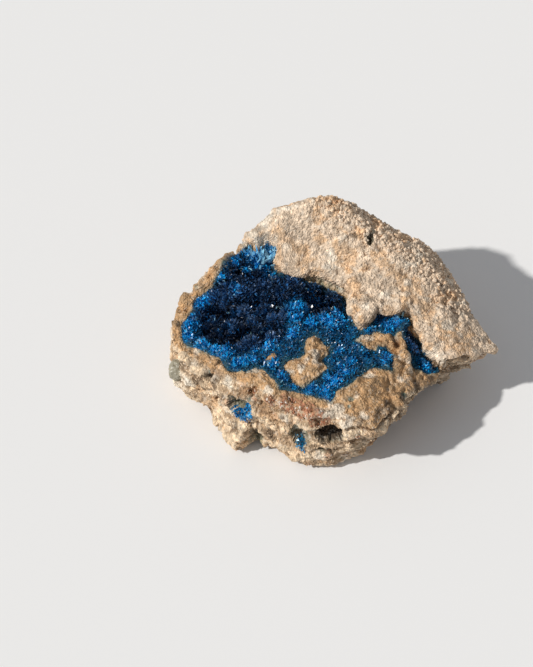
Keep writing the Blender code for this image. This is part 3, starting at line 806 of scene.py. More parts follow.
def beside(x, y, line):
    """How far each place lies from a line through several places."""
    nearest = np.full(np.shape(x), np.inf)
    for (ax, ay), (bx, by) in zip(line[:-1], line[1:]):
        ex, ey = (bx - ax) * MM, (by - ay) * MM
        along = np.clip(((x - ax * MM) * ex + (y - ay * MM) * ey) / (ex * ex + ey * ey), 0, 1)
        nearest = np.minimum(nearest, np.hypot(x - ax * MM - along * ex, y - ay * MM - along * ey))
    return nearest


def surface_zones(points, share):
    """Masks from 0 to 1: cap, wall, sheets, loose, knobs, and the crystals' cover and stain."""
    x, y, z = points.T
    on_top = np.arange(len(points)) < COUNT_TOP
    angle = np.arctan2(y, x)
    behind = s_curve((np.sin(angle + 0.12) + 0.15) / 0.3)
    cap = np.where(on_top, s_curve(np.resize(share, len(points)) * 2.5), behind)
    patch = np.maximum(main_patch(x, y), groove_patch(x, y))
    patch = patch + rough(x, y, 0 * x, MARGIN) * MARGIN_RAGGEDNESS
    clear = on_top * (1 - s_curve(cap * 1.6))
    druse = s_curve(patch / DRUSE_FADE + 0.2) * clear
    halo = s_curve(patch / STAIN_REACH + 0.7) * clear
    halo = halo * s_curve(rough(x, y, z + 4.0, 1.5 * MM) * 3 + 0.75)
    wall = (~on_top & (z > 0.05 * MM)).astype(float)
    sheets = s_curve(1.2 - np.abs(angle - SHEETS_FACE) / SHEETS_HALF) * wall
    knobs = s_curve(1.5 - beside(x, y, KNOB_LINE) / KNOB_REACH)
    patchy = s_curve(0.55 + 0.9 * rough(x, y, z, 5.0 * MM, 2))
    sandy = s_curve((x + 9 * MM) / (8 * MM)) * 0.16
    top_loose = cap * (CAP_LOOSE + sandy + KNOBS_LOOSE * knobs) + (1 - cap) * FLOOR_LOOSE
    loose = np.where(on_top, top_loose, WALL_LOOSE) * (0.75 + 0.35 * patchy)
    return cap, wall, sheets, loose, knobs * cap, druse, halo


cap, wall, sheets, loose, knobs, druse, halo = surface_zones(points, cap_share)
print("loose places, share of points:", round(float((loose > 0.6).mean()), 2))

# %% [markdown]
# Five kinds of relief are added up: swells, ledges where a bed stands out, creases and folds, crumbs
# of two sizes, and pores that are bitten back out. They could be stirred into one noise, but each has
# its own place on the rock, and only some of them are darkened by painted shade.

# %% Relief along the normals
# Size of the lumps, then their height.
SWELLS = (1.7 * MM, 0.45 * MM)
FLOOR_SWELLS = (1.2 * MM, 0.45 * MM)

# How far ledges stand out on the plain wall and in the sheets, and how thick the beds are.
WALL_LEDGES, SHEET_LEDGES = 0.28, 1.2
BED_THICKNESS = 1.1 * MM

# Creases and folds: how far apart, and how high.
CREASE_SIZE, CREASE_HEIGHT = 1.2 * MM, 0.18 * MM
FOLD_SIZE, FOLD_HEIGHT, FOLD_REACH = 1.5 * MM, 0.26 * MM, 2.0 * MM

# Crumbs of two sizes and the pores: spacing, then height or depth.
LARGE_CRUMB, LARGE_CRUMB_HEIGHT = 0.82 * MM, 0.66
SMALL_CRUMB, SMALL_CRUMB_HEIGHT = 0.46 * MM, 0.32
PORE_SPACING, PORE_DEPTH = 1.7 * MM, 0.7 * MM


def relief(points, cap, wall, sheets, loose):
    """The height to add along the normals, the hollows between crumbs, and each crumb's own number."""
    x, y, z = points.T
    swells = uneven(x, y, z, SWELLS)
    swells = swells + uneven(x, y, z + 8 * MM, FLOOR_SWELLS, 2) * (1 - cap) * (1 - wall)
    across = np.arctan2(y, x) * 20 * MM
    beds = rough(across * 0.2, np.hypot(x, y) * 0.5, (z - 0.2 * x) * 1.5, BED_THICKNESS, 2)
    ledge = s_curve(beds * 2.4 + 0.5) - 0.5
    broken = s_curve(0.6 + 1.2 * rough(x, y, z + 6 * MM, 2.6 * MM, 2))
    ledges = ledge * (WALL_LEDGES * wall + SHEET_LEDGES * sheets * broken) * MM
    creases = 1 - np.abs(rough(across * 0.5, np.hypot(x, y), z, CREASE_SIZE)) * 4
    wrinkles = np.clip(creases, -1, 1) * CREASE_HEIGHT * (1 - cap * 0.6)
    folds = 1 - np.abs(rough(x + y * 0.3, y * 0.3 - x * 0.1, 0 * x + 3.0, FOLD_SIZE, 2)) * 5
    folded = s_curve(1.6 - beside(x, y, FOLD_LINE) / FOLD_REACH) * (1 - wall)
    wrinkles = wrinkles + np.clip(folds, -1, 1) * FOLD_HEIGHT * folded
    far, tone = crumbs(x, y, z, LARGE_CRUMB)
    near, _ = crumbs(x, y, z, SMALL_CRUMB)
    big = np.sqrt(np.clip(1 - far**2, 0, 1))
    small = np.sqrt(np.clip(1 - near**2, 0, 1))
    pore, chosen = crumbs(x + 3 * MM, y, z * 1.3, PORE_SPACING)
    porous = s_curve(rough(x + 7 * MM, y, z, 4.0 * MM) * 4 + 0.2)
    pore = pore + rough(x, y, z + 3 * MM, 0.9 * MM) * 0.5
    pores = s_curve((0.10 + 0.25 * chosen - pore) * 6) * (chosen > 0.4) * wall * porous
    grit = ((big - 0.75) * LARGE_CRUMB_HEIGHT + (small - 0.75) * SMALL_CRUMB_HEIGHT) * loose * MM
    lift = swells + ledges + wrinkles + grit - pores * PORE_DEPTH
    # The hollows mask marks gaps between crumbs, ledge undersides, creases, folds and pores, which the
    # material darkens as painted shade.
    hollows = (1 - s_curve((big * 0.65 + small * 0.35 - 0.45) * 3.0)) * np.clip(loose * 1.4, 0, 1)
    hollows = np.maximum(hollows, s_curve(-ledge * 2.6) * np.clip(wall * 0.6 + sheets, 0, 1))
    hollows = np.maximum(hollows, s_curve(creases - 0.55) * 0.5)
    hollows = np.maximum(hollows, s_curve(-folds) * folded)
    return lift, np.maximum(hollows, pores), tone


print("a crumb on loose rock, mm:", round(LARGE_CRUMB_HEIGHT * 0.25 + SMALL_CRUMB_HEIGHT * 0.25, 2))

# %% [markdown]
# ## The rock's finish
# The rock is one material with several stains. Cap rock is pale cream, the hollow's edges and the
# mounds are golden, a granular band below the front rim is red-brown, and the wall holds pale,
# slightly green patches. A blue-green tint runs a little way out of the crystals. Each stain is a
# mask on the mesh, worked out from its place, and the shader mixes plain colours by them.

# %% Places of the stains and of the painted shade
# Balls of stain and of painted shade: x, y, z, radius, in mm.
RUST_SPOTS = (
    (-9.0, -14.0, 11.0, 1.2), (-7.1, -15.1, 10.8, 1.7), (-5.0, -16.1, 10.8, 1.7),
    (-3.2, -17.0, 10.3, 1.7), (-1.2, -17.8, 10.0, 1.1), (3.0, -18.6, 8.2, 1.5),
    (-12.2, -12.6, 10.6, 1.0),
)
PALE_SPOTS = (
    (-7.2, -15.3, 8.5, 1.0), (-4.9, -16.0, 6.2, 1.9), (-21.7, -5.7, 6.0, 1.5),
    (-9.5, -13.4, 12.0, 0.9), (16.4, -6.1, 10.2, 1.5), (11.2, -8.4, 10.9, 0.7),
    (4.9, 1.6, 14.4, 0.8), (4.6, 3.0, 14.9, 0.8), (2.3, 3.6, 14.8, 0.6), (0.0, 9.9, 16.8, 1.2),
    (-0.4, 8.6, 15.6, 0.8), (2.2, -18.2, 10.7, 1.5), (0.6, -16.6, 11.2, 1.5),
    (4.2, -17.2, 11.0, 1.1), (-1.4, -17.0, 11.0, 1.0), (-3.1, -6.5, 12.6, 0.9),
    (-4.0, -8.2, 12.6, 0.9), (-4.9, -9.8, 12.6, 0.9), (21.5, -3.6, 10.1, 0.7),
    (-15.6, -9.4, 10.2, 1.1), (10.9, -3.4, 12.0, 0.5), (-2.2, -19.0, 3.0, 1.2),
    # (17.6, -0.6) is painted light on the top of the pointed end.
    (17.6, -0.6, 12.4, 1.2), (-9.6, 15.6, 19.0, 2.2), (-10.8, 13.6, 17.4, 1.6),
    (-13.2, 12.9, 15.8, 1.0),
)
GOLD_SPOTS = (
    (12.9, -2.2, 11.9, 1.7), (14.0, -3.9, 11.4, 1.1), (12.2, 0.6, 13.0, 1.2),
    (10.8, 2.8, 14.0, 1.2), (7.4, 8.0, 17.3, 1.4), (3.1, 5.6, 14.7, 1.1), (2.4, 7.2, 15.6, 0.9),
    (-7.6, 9.7, 14.4, 2.0), (-4.6, 9.6, 15.4, 1.6), (-1.8, 12.0, 18.4, 1.4),
    (19.2, -3.8, 11.0, 2.6), (16.4, -1.6, 12.0, 2.4), (20.6, -1.4, 11.2, 2.0),
    (14.4, 1.8, 13.8, 1.4), (10.4, 6.4, 16.0, 1.3), (3.4, 1.4, 14.2, 0.9),
    (4.4, -0.1, 13.4, 0.8), (5.4, -13.4, 12.4, 3.4), (8.4, -10.4, 11.8, 2.4),
    (-11.0, -10.4, 11.6, 2.4), (3.9, 12.0, 19.8, 1.2),
)
# The shade balls are painted shade, with dark brown stain in places: in the pits, beside the cap's
# nose, along the rims and at the left end.
SHADE_SPOTS = (
    (6.9, 1.9, 12.4, 1.1), (5.8, 1.5, 12.2, 0.8), (-1.3, 8.0, 13.0, 0.4), (1.8, 6.2, 12.6, 0.5),
    (6.6, 1.6, 13.8, 0.9), (7.4, 2.4, 14.2, 0.6), (-18.7, -7.1, 8.6, 1.3),
    (-18.0, -8.5, 8.0, 1.0), (-16.8, -9.8, 6.9, 0.9), (-17.2, -6.7, 10.5, 0.5),
    (3.3, 11.5, 19.6, 0.7), (3.5, 12.4, 20.0, 0.5), (-0.6, -17.6, 7.5, 2.3),
    (0.9, -18.2, 7.9, 1.1), (0.0, -18.2, 4.0, 1.2), (10.5, -5.6, 11.8, 0.7),
    (6.4, 0.9, 13.4, 1.2), (5.9, 0.1, 12.9, 0.9), (6.6, -16.9, 10.4, 1.1),
    (8.2, -15.3, 10.4, 1.1), (9.9, -13.4, 10.3, 1.1), (12.4, -10.4, 10.1, 1.0),
    (14.3, -8.7, 9.7, 0.9), (9.4, -15.0, 8.8, 1.4), (-21.6, -4.9, 8.0, 1.5),
    (-20.2, -6.4, 6.8, 1.2), (-19.0, -7.8, 6.0, 1.4), (-19.8, -5.9, 9.4, 0.7),
    (-14.8, -13.4, 3.6, 1.2), (-9.6, -15.0, 4.4, 1.0), (3.0, -18.9, 7.0, 1.3),
    (5.4, -18.2, 7.6, 1.2), (-3.0, -18.4, 4.6, 0.9), (-8.4, -15.4, 6.0, 0.9),
    (-22.4, -4.0, 7.6, 1.1), (-20.8, -5.8, 7.6, 0.9), (-22.6, -1.8, 6.6, 0.8),
)
WHITE_DISC = ((-21.7, -5.8, 6.0, 1.5),)

# The greenish band of rock under the cap's lip.
RIM_BAND = (
    (-3.4, 8.8, 13.2, 0.9),
    (-1.6, 8.2, 13.0, 1.0),
    (-0.2, 7.6, 12.9, 1.0),
    (1.2, 6.8, 12.8, 1.0),
)
TEAL_SPOTS = (
    (2.5, -14.8, 12.0, 0.6), (2.2, -16.0, 11.6, 0.5), (-6.9, -15.3, 8.9, 0.4),
    (-20.7, 7.6, 12.2, 0.6), (10.5, -12.6, 10.4, 0.6), (-12.5, -12.4, 9.1, 0.4),
    (0.9, -18.9, 8.2, 0.4), (-18.4, -6.9, 9.5, 0.4),
)
print("balls of stain:", sum(map(len, (RUST_SPOTS, PALE_SPOTS, GOLD_SPOTS, SHADE_SPOTS, TEAL_SPOTS))))

# %% [markdown]
# Each mask is the strongest of its balls at a place, with an edge that noise makes ragged. Wide,
# weak noise is added to most of them, since hardly any stain on a rock keeps to one spot. The white
# disc is a broken pebble in the wall, so its edge is kept sharper.

# %% Stains


def spotted(points, spots, ragged=0.8):
    """The strongest of several soft-edged balls at each point, with ragged edges."""
    shift = (rough(*points.T, 1.4 * MM) + rough(*points.T, 0.6 * MM, 1)) * ragged
    strongest = np.zeros(len(points))
    for x, y, z, radius in spots:
        away = np.linalg.norm(points - np.array([x, y, z]) * MM, axis=1) / (radius * MM)
        strongest = np.maximum(strongest, s_curve((1 - away + shift) * 2))
    return strongest


def rock_masks(points, cap, wall, sheets):
    """The masks at any points of the rock: rust, pale, gold and blue-green stains, and shade, which is
    painted shade with dark brown stain in places.
    """
    x, y, z = points.T
    blotches = s_curve(rough(x, y, z + 9.0, 2.6 * MM) * 4 - 1.0)
    chalk = s_curve(rough(x, y, z + 5.0, 2.0 * MM) * 4 - 0.7)
    disc = spotted(points, WHITE_DISC, 0.25)
    warm = s_curve(rough(x, y, z + 2.0, 1.9 * MM) * 5 - 0.2)
    streaks = s_curve(rough(x * 0.3, y * 0.3, z * 1.6, 0.8 * MM) * 3 + 0.45)
    hollow = (1 - cap) * (1 - wall)
    return {
        "rust": np.maximum(spotted(points, RUST_SPOTS), 0.5 * blotches * wall),
        "pale": np.maximum(np.maximum(spotted(points, PALE_SPOTS) * 0.62, 0.55 * chalk), disc * 0.9),
        "gold": np.maximum(spotted(points, GOLD_SPOTS) * 0.85, np.maximum(hollow, 0.75 * warm)),
        # Painted shade, with dark brown stain in places: the shade balls, and streaks on the sheets
        # under the pointed end.
        "shade": np.maximum(spotted(points, SHADE_SPOTS, 0.8), sheets * streaks * 0.9),
        "teal": spotted(points, TEAL_SPOTS, 0.9) * 0.9,
    }


stains = rock_masks(points, cap, wall, sheets)
loose = np.maximum(loose, np.maximum(stains["rust"], stains["shade"] * wall))
lift, hollows, tone = relief(points, cap, wall, sheets, loose)
halo = np.maximum(halo, stains.pop("teal"))
normals = corner_normals(points, quads)
grounded = s_curve(points[:, 2] / (0.6 * MM)) * (1 - 0.9 * druse)
ROCK_POINTS = points + normals * (lift * grounded)[:, None]
ROCK_POINTS[:, 2] = np.maximum(ROCK_POINTS[:, 2], 0.0)

# The corners and the area of each of the rock's cells, for whatever grows on them.
CELL_CORNERS = [ROCK_POINTS[quads[:, k]] for k in range(4)]
CELL_AREAS = np.linalg.norm(
    np.cross(CELL_CORNERS[2] - CELL_CORNERS[0], CELL_CORNERS[3] - CELL_CORNERS[1]), axis=1
) / 2
print("relief, mm:", round(lift.min() / MM, 2), "to", round(lift.max() / MM, 2))

# %% [markdown]
# The helpers below make a material's nodes by name, so that each recipe reads from top to bottom.
# Fine grain is a group of nodes, because the rock, the crystals and the quartz all use it.

# %% Node helpers


def new_material(name, roughness):
    """A material with its node tree and its one shader."""
    material = bpy.data.materials.new(name)
    material.use_nodes = True
    tree = material.node_tree
    shader = tree.nodes["Principled BSDF"]
    shader.inputs["Roughness"].default_value = roughness
    return material, tree, shader


def fill(tree, socket, value):
    """Links a node's output to a socket, or sets the socket to a plain number or colour."""
    if isinstance(value, bpy.types.NodeSocket):
        tree.links.new(value, socket)
    elif isinstance(value, tuple):
        socket.default_value = (*value, 1.0)
    else:
        socket.default_value = value


def attribute(tree, name):
    """The mask of that name, as it was painted on the piece."""
    node = tree.nodes.new("ShaderNodeAttribute")
    node.attribute_name = name
    return node.outputs["Fac"]


def mix(tree, factor, first, second, blend="MIX"):
    """Colour between first and second; each is a colour or another node's output."""
    node = tree.nodes.new("ShaderNodeMix")
    node.data_type = "RGBA"
    node.blend_type = blend
    for number, value in ((0, factor), (6, first), (7, second)):
        fill(tree, node.inputs[number], value)
    return node.outputs[2]


def maths(tree, operation, *values):
    """One sum on numbers or other nodes' outputs."""
    node = tree.nodes.new("ShaderNodeMath")
    node.operation = operation
    for socket, value in zip(node.inputs, values):
        fill(tree, socket, value)
    return node.outputs[0]


def grey(tree, value):
    """A grey of the given lightness."""
    node = tree.nodes.new("ShaderNodeCombineColor")
    for socket in node.inputs:
        fill(tree, socket, value)
    return node.outputs[0]


def grain_group():
    """A group that turns a scale into fine grain: a shade from 0 to 1, a speck mask and a height."""
    group = bpy.data.node_groups.new("fine_grain", "ShaderNodeTree")
    group.interface.new_socket("Scale", in_out="INPUT", socket_type="NodeSocketFloat")
    for name in ("Shade", "Specks", "Height"):
        group.interface.new_socket(name, in_out="OUTPUT", socket_type="NodeSocketFloat")
    inside = group.nodes.new("NodeGroupInput")
    outside = group.nodes.new("NodeGroupOutput")
    place_at = group.nodes.new("ShaderNodeTexCoord")
    noise = group.nodes.new("ShaderNodeTexNoise")
    noise.inputs["Detail"].default_value = 4.0
    noise.inputs["Roughness"].default_value = 0.60
    cells = group.nodes.new("ShaderNodeTexVoronoi")
    for node in (noise, cells):
        group.links.new(place_at.outputs["Object"], node.inputs["Vector"])
    group.links.new(inside.outputs["Scale"], noise.inputs["Scale"])
    group.links.new(maths(group, "MULTIPLY", inside.outputs["Scale"], 1.7), cells.inputs["Scale"])
    specks = maths(group, "GREATER_THAN", cells.outputs["Color"], 0.80)
    height = maths(group, "SUBTRACT", noise.outputs["Fac"], cells.outputs["Distance"])
    group.links.new(noise.outputs["Fac"], outside.inputs["Shade"])
    group.links.new(specks, outside.inputs["Specks"])
    group.links.new(height, outside.inputs["Height"])
    return group


GRAIN = grain_group()


def grain(tree, scale):
    """The grain group, with scale as the number of its lumps to a metre."""
    node = tree.nodes.new("ShaderNodeGroup")
    node.node_tree = GRAIN
    node.inputs["Scale"].default_value = scale
    return node


def bump(tree, shader, height, distance, strength=1.0):
    """Lets a height from 0 to 1 tilt the shaded surface, as if it stood that far out."""
    node = tree.nodes.new("ShaderNodeBump")
    node.inputs["Distance"].default_value = distance
    node.inputs["Strength"].default_value = strength
    tree.links.new(height, node.inputs["Height"])
    tree.links.new(node.outputs["Normal"], shader.inputs["Normal"])


print("node helpers are ready")

# %% [markdown]
# The rock's colours are laid over one another as they would be on a painted model. First the plain
# colour of the cap, the floor or the wall, then gold, the pits' lined walls with painted shade deep
# inside, chalk, rust, painted shade in the hollows, painted shade with dark brown stain in places,
# and last the stain of the crystals. A picture wrapped round it would smear on the wall, and these
# masks have no seam.

# %% Rock material
CAP_CREAM = (0.655, 0.515, 0.385)
FLOOR_TAN = (0.47, 0.345, 0.215)
WALL_TAN = (0.69, 0.535, 0.37)
GOLD = (0.48, 0.282, 0.132)
CAP_AMBER = (0.66, 0.415, 0.225)
RUST = (0.36, 0.155, 0.085)
CHALK = (0.74, 0.68, 0.58)
CREVICE_SHADE = (0.33, 0.235, 0.155)
DARK_BROWN = (0.13, 0.085, 0.052)
BLUE_GREEN = (0.030, 0.125, 0.125)
UNDER_BLUE = (0.004, 0.03, 0.06)
LINING = (0.25, 0.25, 0.165)
PIT_SHADE_BLACK = (0.016, 0.012, 0.008)
WHITE_SPECK = (0.86, 0.82, 0.74)
FINE_GRAINS, BROAD_GRAINS = 1900.0, 620.0
GRAIN_DEPTH = 0.20 * MM
ROCK_ROUGHNESS, GOLD_GLOSS = 0.95, 0.40


def rock_material():
    """Stain and painted-shade masks mixed over one another, then light and dark by the crumbs and the
    fine grain.
    """
    material, tree, shader = new_material("tan_rock", ROCK_ROUGHNESS)
    fine = grain(tree, FINE_GRAINS)
    broad = grain(tree, BROAD_GRAINS)
    colour = mix(tree, attribute(tree, "cap"), FLOOR_TAN, CAP_CREAM)
    wall_colour = mix(tree, attribute(tree, "cap"), WALL_TAN, CAP_CREAM)
    colour = mix(tree, attribute(tree, "wall"), colour, wall_colour)
    patchy = maths(tree, "MULTIPLY_ADD", broad.outputs["Shade"], 1.4, 0.1)
    golden = mix(tree, attribute(tree, "cap"), GOLD, CAP_AMBER)
    colour = mix(tree, maths(tree, "MULTIPLY", attribute(tree, "gold"), patchy), colour, golden)
    # Painted shade inside the pits: their lined walls go near black where they lie deep.
    pit_colour_and_shade = mix(tree, attribute(tree, "painted_pit_shade"), LINING, PIT_SHADE_BLACK)
    colour = mix(tree, maths(tree, "MULTIPLY", attribute(tree, "cavity"), 0.92), colour, pit_colour_and_shade)
    colour = mix(tree, attribute(tree, "pale"), colour, CHALK)
    speckled = maths(tree, "MULTIPLY_ADD", fine.outputs["Shade"], 5.0, -1.75)
    speckled = maths(tree, "MINIMUM", maths(tree, "MAXIMUM", speckled, 0.0), 1.0)
    colour = mix(tree, maths(tree, "MULTIPLY", attribute(tree, "rust"), speckled), colour, RUST)
    # Painted shade in the hollows: gaps, creases and ledge undersides are darkened.
    crevice_shade = mix(tree, 1.0, colour, CREVICE_SHADE, "MULTIPLY")
    colour = mix(tree, attribute(tree, "hollows"), colour, crevice_shade)
    # Painted shade, with dark brown stain in places, from the shade mask and speckled by the grain.
    shade_and_stain = maths(tree, "MULTIPLY_ADD", speckled, 0.45, 0.50)
    shade_and_stain = maths(tree, "MULTIPLY", attribute(tree, "shade"), shade_and_stain)
    colour = mix(tree, shade_and_stain, colour, DARK_BROWN)
    tint = maths(tree, "MULTIPLY", fine.outputs["Shade"], 1.5)
    spread = maths(tree, "MULTIPLY", attribute(tree, "halo"), tint)
    colour = mix(tree, spread, colour, BLUE_GREEN)
    colour = mix(tree, attribute(tree, "druse"), colour, UNDER_BLUE)
    shade = maths(tree, "MULTIPLY_ADD", broad.outputs["Shade"], 1.2, 0.44)
    tone_shade = maths(tree, "MULTIPLY_ADD", attribute(tree, "tone"), 0.36, -0.18)
    shade = maths(tree, "ADD", shade, tone_shade)
    fine_shade = maths(tree, "MULTIPLY_ADD", fine.outputs["Shade"], 2.2, -0.04)
    shade = maths(tree, "MULTIPLY", shade, fine_shade)
    colour = mix(tree, 1.0, colour, grey(tree, shade), "MULTIPLY")
    specks = maths(tree, "MULTIPLY_ADD", attribute(tree, "rust"), 0.55, 0.20)
    specks = maths(tree, "MULTIPLY", fine.outputs["Specks"], specks)
    colour = mix(tree, specks, colour, WHITE_SPECK)
    tree.links.new(colour, shader.inputs["Base Color"])
    glossy = maths(tree, "SUBTRACT", 1.0, attribute(tree, "cap"))
    glossy = maths(tree, "MULTIPLY", attribute(tree, "gold"), glossy)
    roughness = maths(tree, "MULTIPLY_ADD", glossy, -GOLD_GLOSS, ROCK_ROUGHNESS)
    tree.links.new(roughness, shader.inputs["Roughness"])
    bump(tree, shader, fine.outputs["Height"], GRAIN_DEPTH)
    return material


# %% [markdown]
# The rock takes its points, its masks and its material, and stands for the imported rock. It is shaded
# flat, since a broken grain has corners and no smooth skin.

# %% The rock's surface, made and painted
ROCK = rock_material()
rock = new_piece("rock_surface", ROCK_POINTS, [quads, fan], False)
masks = {"cap": cap, "wall": wall, "druse": druse, "halo": halo, "tone": tone, "hollows": hollows}
masks["cavity"] = np.maximum(cavity, spotted(points, RIM_BAND) * 0.7)
masks = {**masks, "painted_pit_shade": painted_pit_shade, **stains}
paint(rock, masks)
place(rock, ROCK, "host_rock", "host_rock")

# %% [markdown]
# ## Loose grains
# The coarse part of the cap and the wall carry separate crumbs of sand that stand clear of the
# surface. The net can't overhang, so these are small angular bodies of their own, joined in one
# mesh. Each is a twenty-sided ball, squeezed and turned at random, and sunk by half.

# %% Grains
GRAIN_COUNT = 5200
LEAST_GRAIN = 0.10 * MM
GRAIN_SPREAD = 0.26 * MM

# None grow below this height, or where the crystals' stain is stronger than this.
GRAIN_FLOOR, GRAIN_STAIN = 0.8 * MM, 0.3


def icosahedron():
    """Twelve corners and twenty faces of a ball with flat faces."""
    g = (1 + math.sqrt(5)) / 2
    corners = [(-1, g, 0), (1, g, 0), (-1, -g, 0), (1, -g, 0), (0, -1, g), (0, 1, g)]
    corners += [(0, -1, -g), (0, 1, -g), (g, 0, -1), (g, 0, 1), (-g, 0, -1), (-g, 0, 1)]
    faces = [(0, 11, 5), (0, 5, 1), (0, 1, 7), (0, 7, 10), (0, 10, 11), (1, 5, 9), (5, 11, 4)]
    faces += [(11, 10, 2), (10, 7, 6), (7, 1, 8), (3, 9, 4), (3, 4, 2), (3, 2, 6), (3, 6, 8)]
    faces += [(3, 8, 9), (4, 9, 5), (2, 4, 11), (6, 2, 10), (8, 6, 7), (9, 8, 1)]
    return np.array(corners) / math.hypot(1, g), np.array(faces)


def random_turns(rng, count):
    """Evenly random rotations as 3 by 3 matrices, from random unit quaternions."""
    q = rng.normal(size=(count, 4))
    w, x, y, z = (q / np.linalg.norm(q, axis=1, keepdims=True)).T
    rows = [1 - 2 * (y * y + z * z), 2 * (x * y - w * z), 2 * (x * z + w * y)]
    rows += [2 * (x * y + w * z), 1 - 2 * (x * x + z * z), 2 * (y * z - w * x)]
    rows += [2 * (x * z - w * y), 2 * (y * z + w * x), 1 - 2 * (x * x + y * y)]
    return np.stack(rows, axis=1).reshape(-1, 3, 3)


def copies(template, turns, sizes, places):
    """Many copies of one body's corners: stretched, turned and moved."""
    spread = template[None, :, :] * sizes[:, None, :]
    return (np.einsum("nij,nkj->nki", turns, spread) + places[:, None, :]).reshape(-1, 3)


def renumbered(faces, corner_count, body_count):
    """One body's faces repeated for every copy, each with its own corner numbers."""
    offset = np.arange(body_count)[:, None, None] * corner_count
    return (faces[None] + offset).reshape(-1, faces.shape[1])


def on_cells(rng, cells):
    """A random place on each of the rock's cells of those numbers."""
    share = rng.random((2, len(cells), 1))
    a, b, _, d = (corner[cells] for corner in CELL_CORNERS)
    return a + (b - a) * share[0] + (d - a) * share[1]


def loose_grains():
    """Grains on random cells of the rock, more where it is loose, with that place's stains and painted
    shade.
    """
    rng = np.random.default_rng(11)
    home = quads[:, 0]
    on_wall = wall[home] * (0.10 + 0.9 * stains["rust"][home] + 0.5 * stains["shade"][home])
    wanted = CELL_AREAS * (knobs[home] ** 1.5 + 0.03 * cap[home] + on_wall)
    wanted = wanted * (halo[home] < GRAIN_STAIN) * (ROCK_POINTS[home, 2] > GRAIN_FLOOR)
    cell = rng.choice(len(quads), GRAIN_COUNT, p=wanted / wanted.sum())
    where = on_cells(rng, cell)
    home = home[cell]
    spread = rng.random((GRAIN_COUNT, 1)) ** 1.6
    size = LEAST_GRAIN + GRAIN_SPREAD * spread * (0.35 + knobs[home])[:, None]
    sizes = size * rng.uniform(0.65, 1.25, (GRAIN_COUNT, 3))
    where = where + normals[home] * size * 0.05
    template, faces = icosahedron()
    made = copies(template, random_turns(rng, GRAIN_COUNT), sizes, where)
    obj = new_piece("rock_grains", made, [renumbered(faces, len(template), GRAIN_COUNT)], False)
    own = {name: np.repeat(values[home], len(template)) for name, values in masks.items()}
    # The grains take no painted shade of the hollows, and less of the shade mask.
    own["hollows"] = own["hollows"] * 0
    own["shade"] = own["shade"] * 0.3
    own["tone"] = np.repeat(0.2 + rng.random(GRAIN_COUNT) * 0.9, len(template))
    paint(obj, own)
    place(obj, ROCK, "host_rock")


loose_grains()

# %% [markdown]
# ## Where the crystals are dark or bright
# In the deep back of the hollow the crystals stand in large round clusters that look nearly black,
# with a painted greyish sheen on some, a painted reflection. Round the hollow's edges and along a band
# across its middle they are bright blue. Between the island and the right side they are fine, and
# dulled by the rock that shows through. A few places where shadow falls get dark crystals as painted
# shadow. These three kinds are outlined here, and the crystals' size and colour follow from them.

# %% Kinds of crystal
# Where the dark clusters stand, seen from above: x, y, in mm.
DARK_OUTLINE = (
    (-20.4, 4.2), (-17.2, 8.2), (-14.4, 10.8), (-11.4, 9.8), (-9.6, 8.4), (-4.0, 8.6),
    (0.6, 6.8), (3.0, 5.0), (3.0, 2.8), (-0.6, 2.8), (-3.6, 2.2), (-4.2, 5.2), (-6.8, 5.2),
    (-7.2, 1.0), (-6.8, -1.4), (-9.0, -3.4), (-12.0, -4.2), (-15.2, -4.0), (-18.8, -2.0),
    (-20.8, 0.8),
)

# Middles and radii of the bright places, in mm. The small ones at (-14.8, 10.6) and (-13.0, 9.4) are
# painted highlights, for glints.
BRIGHT_SPOTS = (
    (-19.9, 5.2, 1.4), (-21.6, 2.0, 1.5), (-21.8, -0.2, 1.4), (-20.2, -2.4, 1.4),
    (-17.6, -4.2, 1.2), (-15.9, -4.8, 1.3), (-13.9, -7.4, 1.4), (-12.0, -6.6, 0.8),
    (-11.8, -4.6, 0.7), (-9.6, -4.2, 1.1), (-9.2, -8.0, 1.2), (-7.6, -10.4, 1.2),
    (-13.0, 12.2, 1.0), (-11.6, 11.2, 1.1), (-10.2, 10.0, 1.3), (-9.3, 8.8, 1.0),
    (-9.8, 12.0, 1.4), (-8.3, 11.3, 1.3), (-14.8, 10.6, 0.6), (-13.0, 9.4, 0.5),
    (-16.9, 8.6, 0.6), (-15.0, 6.6, 1.0), (-12.4, 2.0, 0.5), (-15.6, 0.6, 0.5),
    (-5.6, 3.8, 1.3), (-5.5, 1.4, 1.5), (-3.2, 0.5, 1.2), (-1.3, 1.3, 1.1), (0.6, 2.0, 1.3),
    (1.8, 0.9, 1.0), (0.2, 0.2, 1.0), (-6.0, -2.3, 0.9), (3.3, -0.6, 0.9), (5.8, -0.9, 1.1),
    (7.6, 0.6, 1.4), (9.6, 0.6, 1.3), (11.2, 1.2, 1.0), (8.4, -1.0, 0.9), (8.2, -6.8, 1.3),
    (1.8, -10.0, 1.6), (-0.2, -11.8, 1.7), (-0.8, -13.9, 1.4), (2.8, -7.8, 1.0),
    (-3.6, -13.2, 1.1), (-5.8, -12.6, 0.9), (0.9, -5.6, 0.7), (3.6, -4.6, 0.8),
    (14.4, -6.4, 1.4), (13.6, -5.3, 0.9),
)

# Tufts of long pale blades: x, y, z, radius, number, in mm.
PALE_TUFTS = (
    (-12.8, 12.2, 15.0, 0.26, 20),
    (-12.3, 11.7, 14.9, 0.50, 18),
    (-10.9, 11.3, 15.2, 0.34, 18),
    (-11.2, 10.8, 14.8, 0.50, 14),
    (-8.8, 10.9, 15.3, 0.22, 14),
    (-9.4, 10.5, 14.9, 0.45, 14),
    (10.2, 1.2, 12.2, 0.35, 8),
)

# Middles and radii of painted shadow, in mm: dark crystals at the top of the groove and right of the
# cap's nose, where shadow falls.
PAINTED_SHADOW_SPOTS = (
    (11.7, -2.2, 1.9),
    (12.6, -4.0, 1.2),
    (7.0, 1.5, 1.0),
)


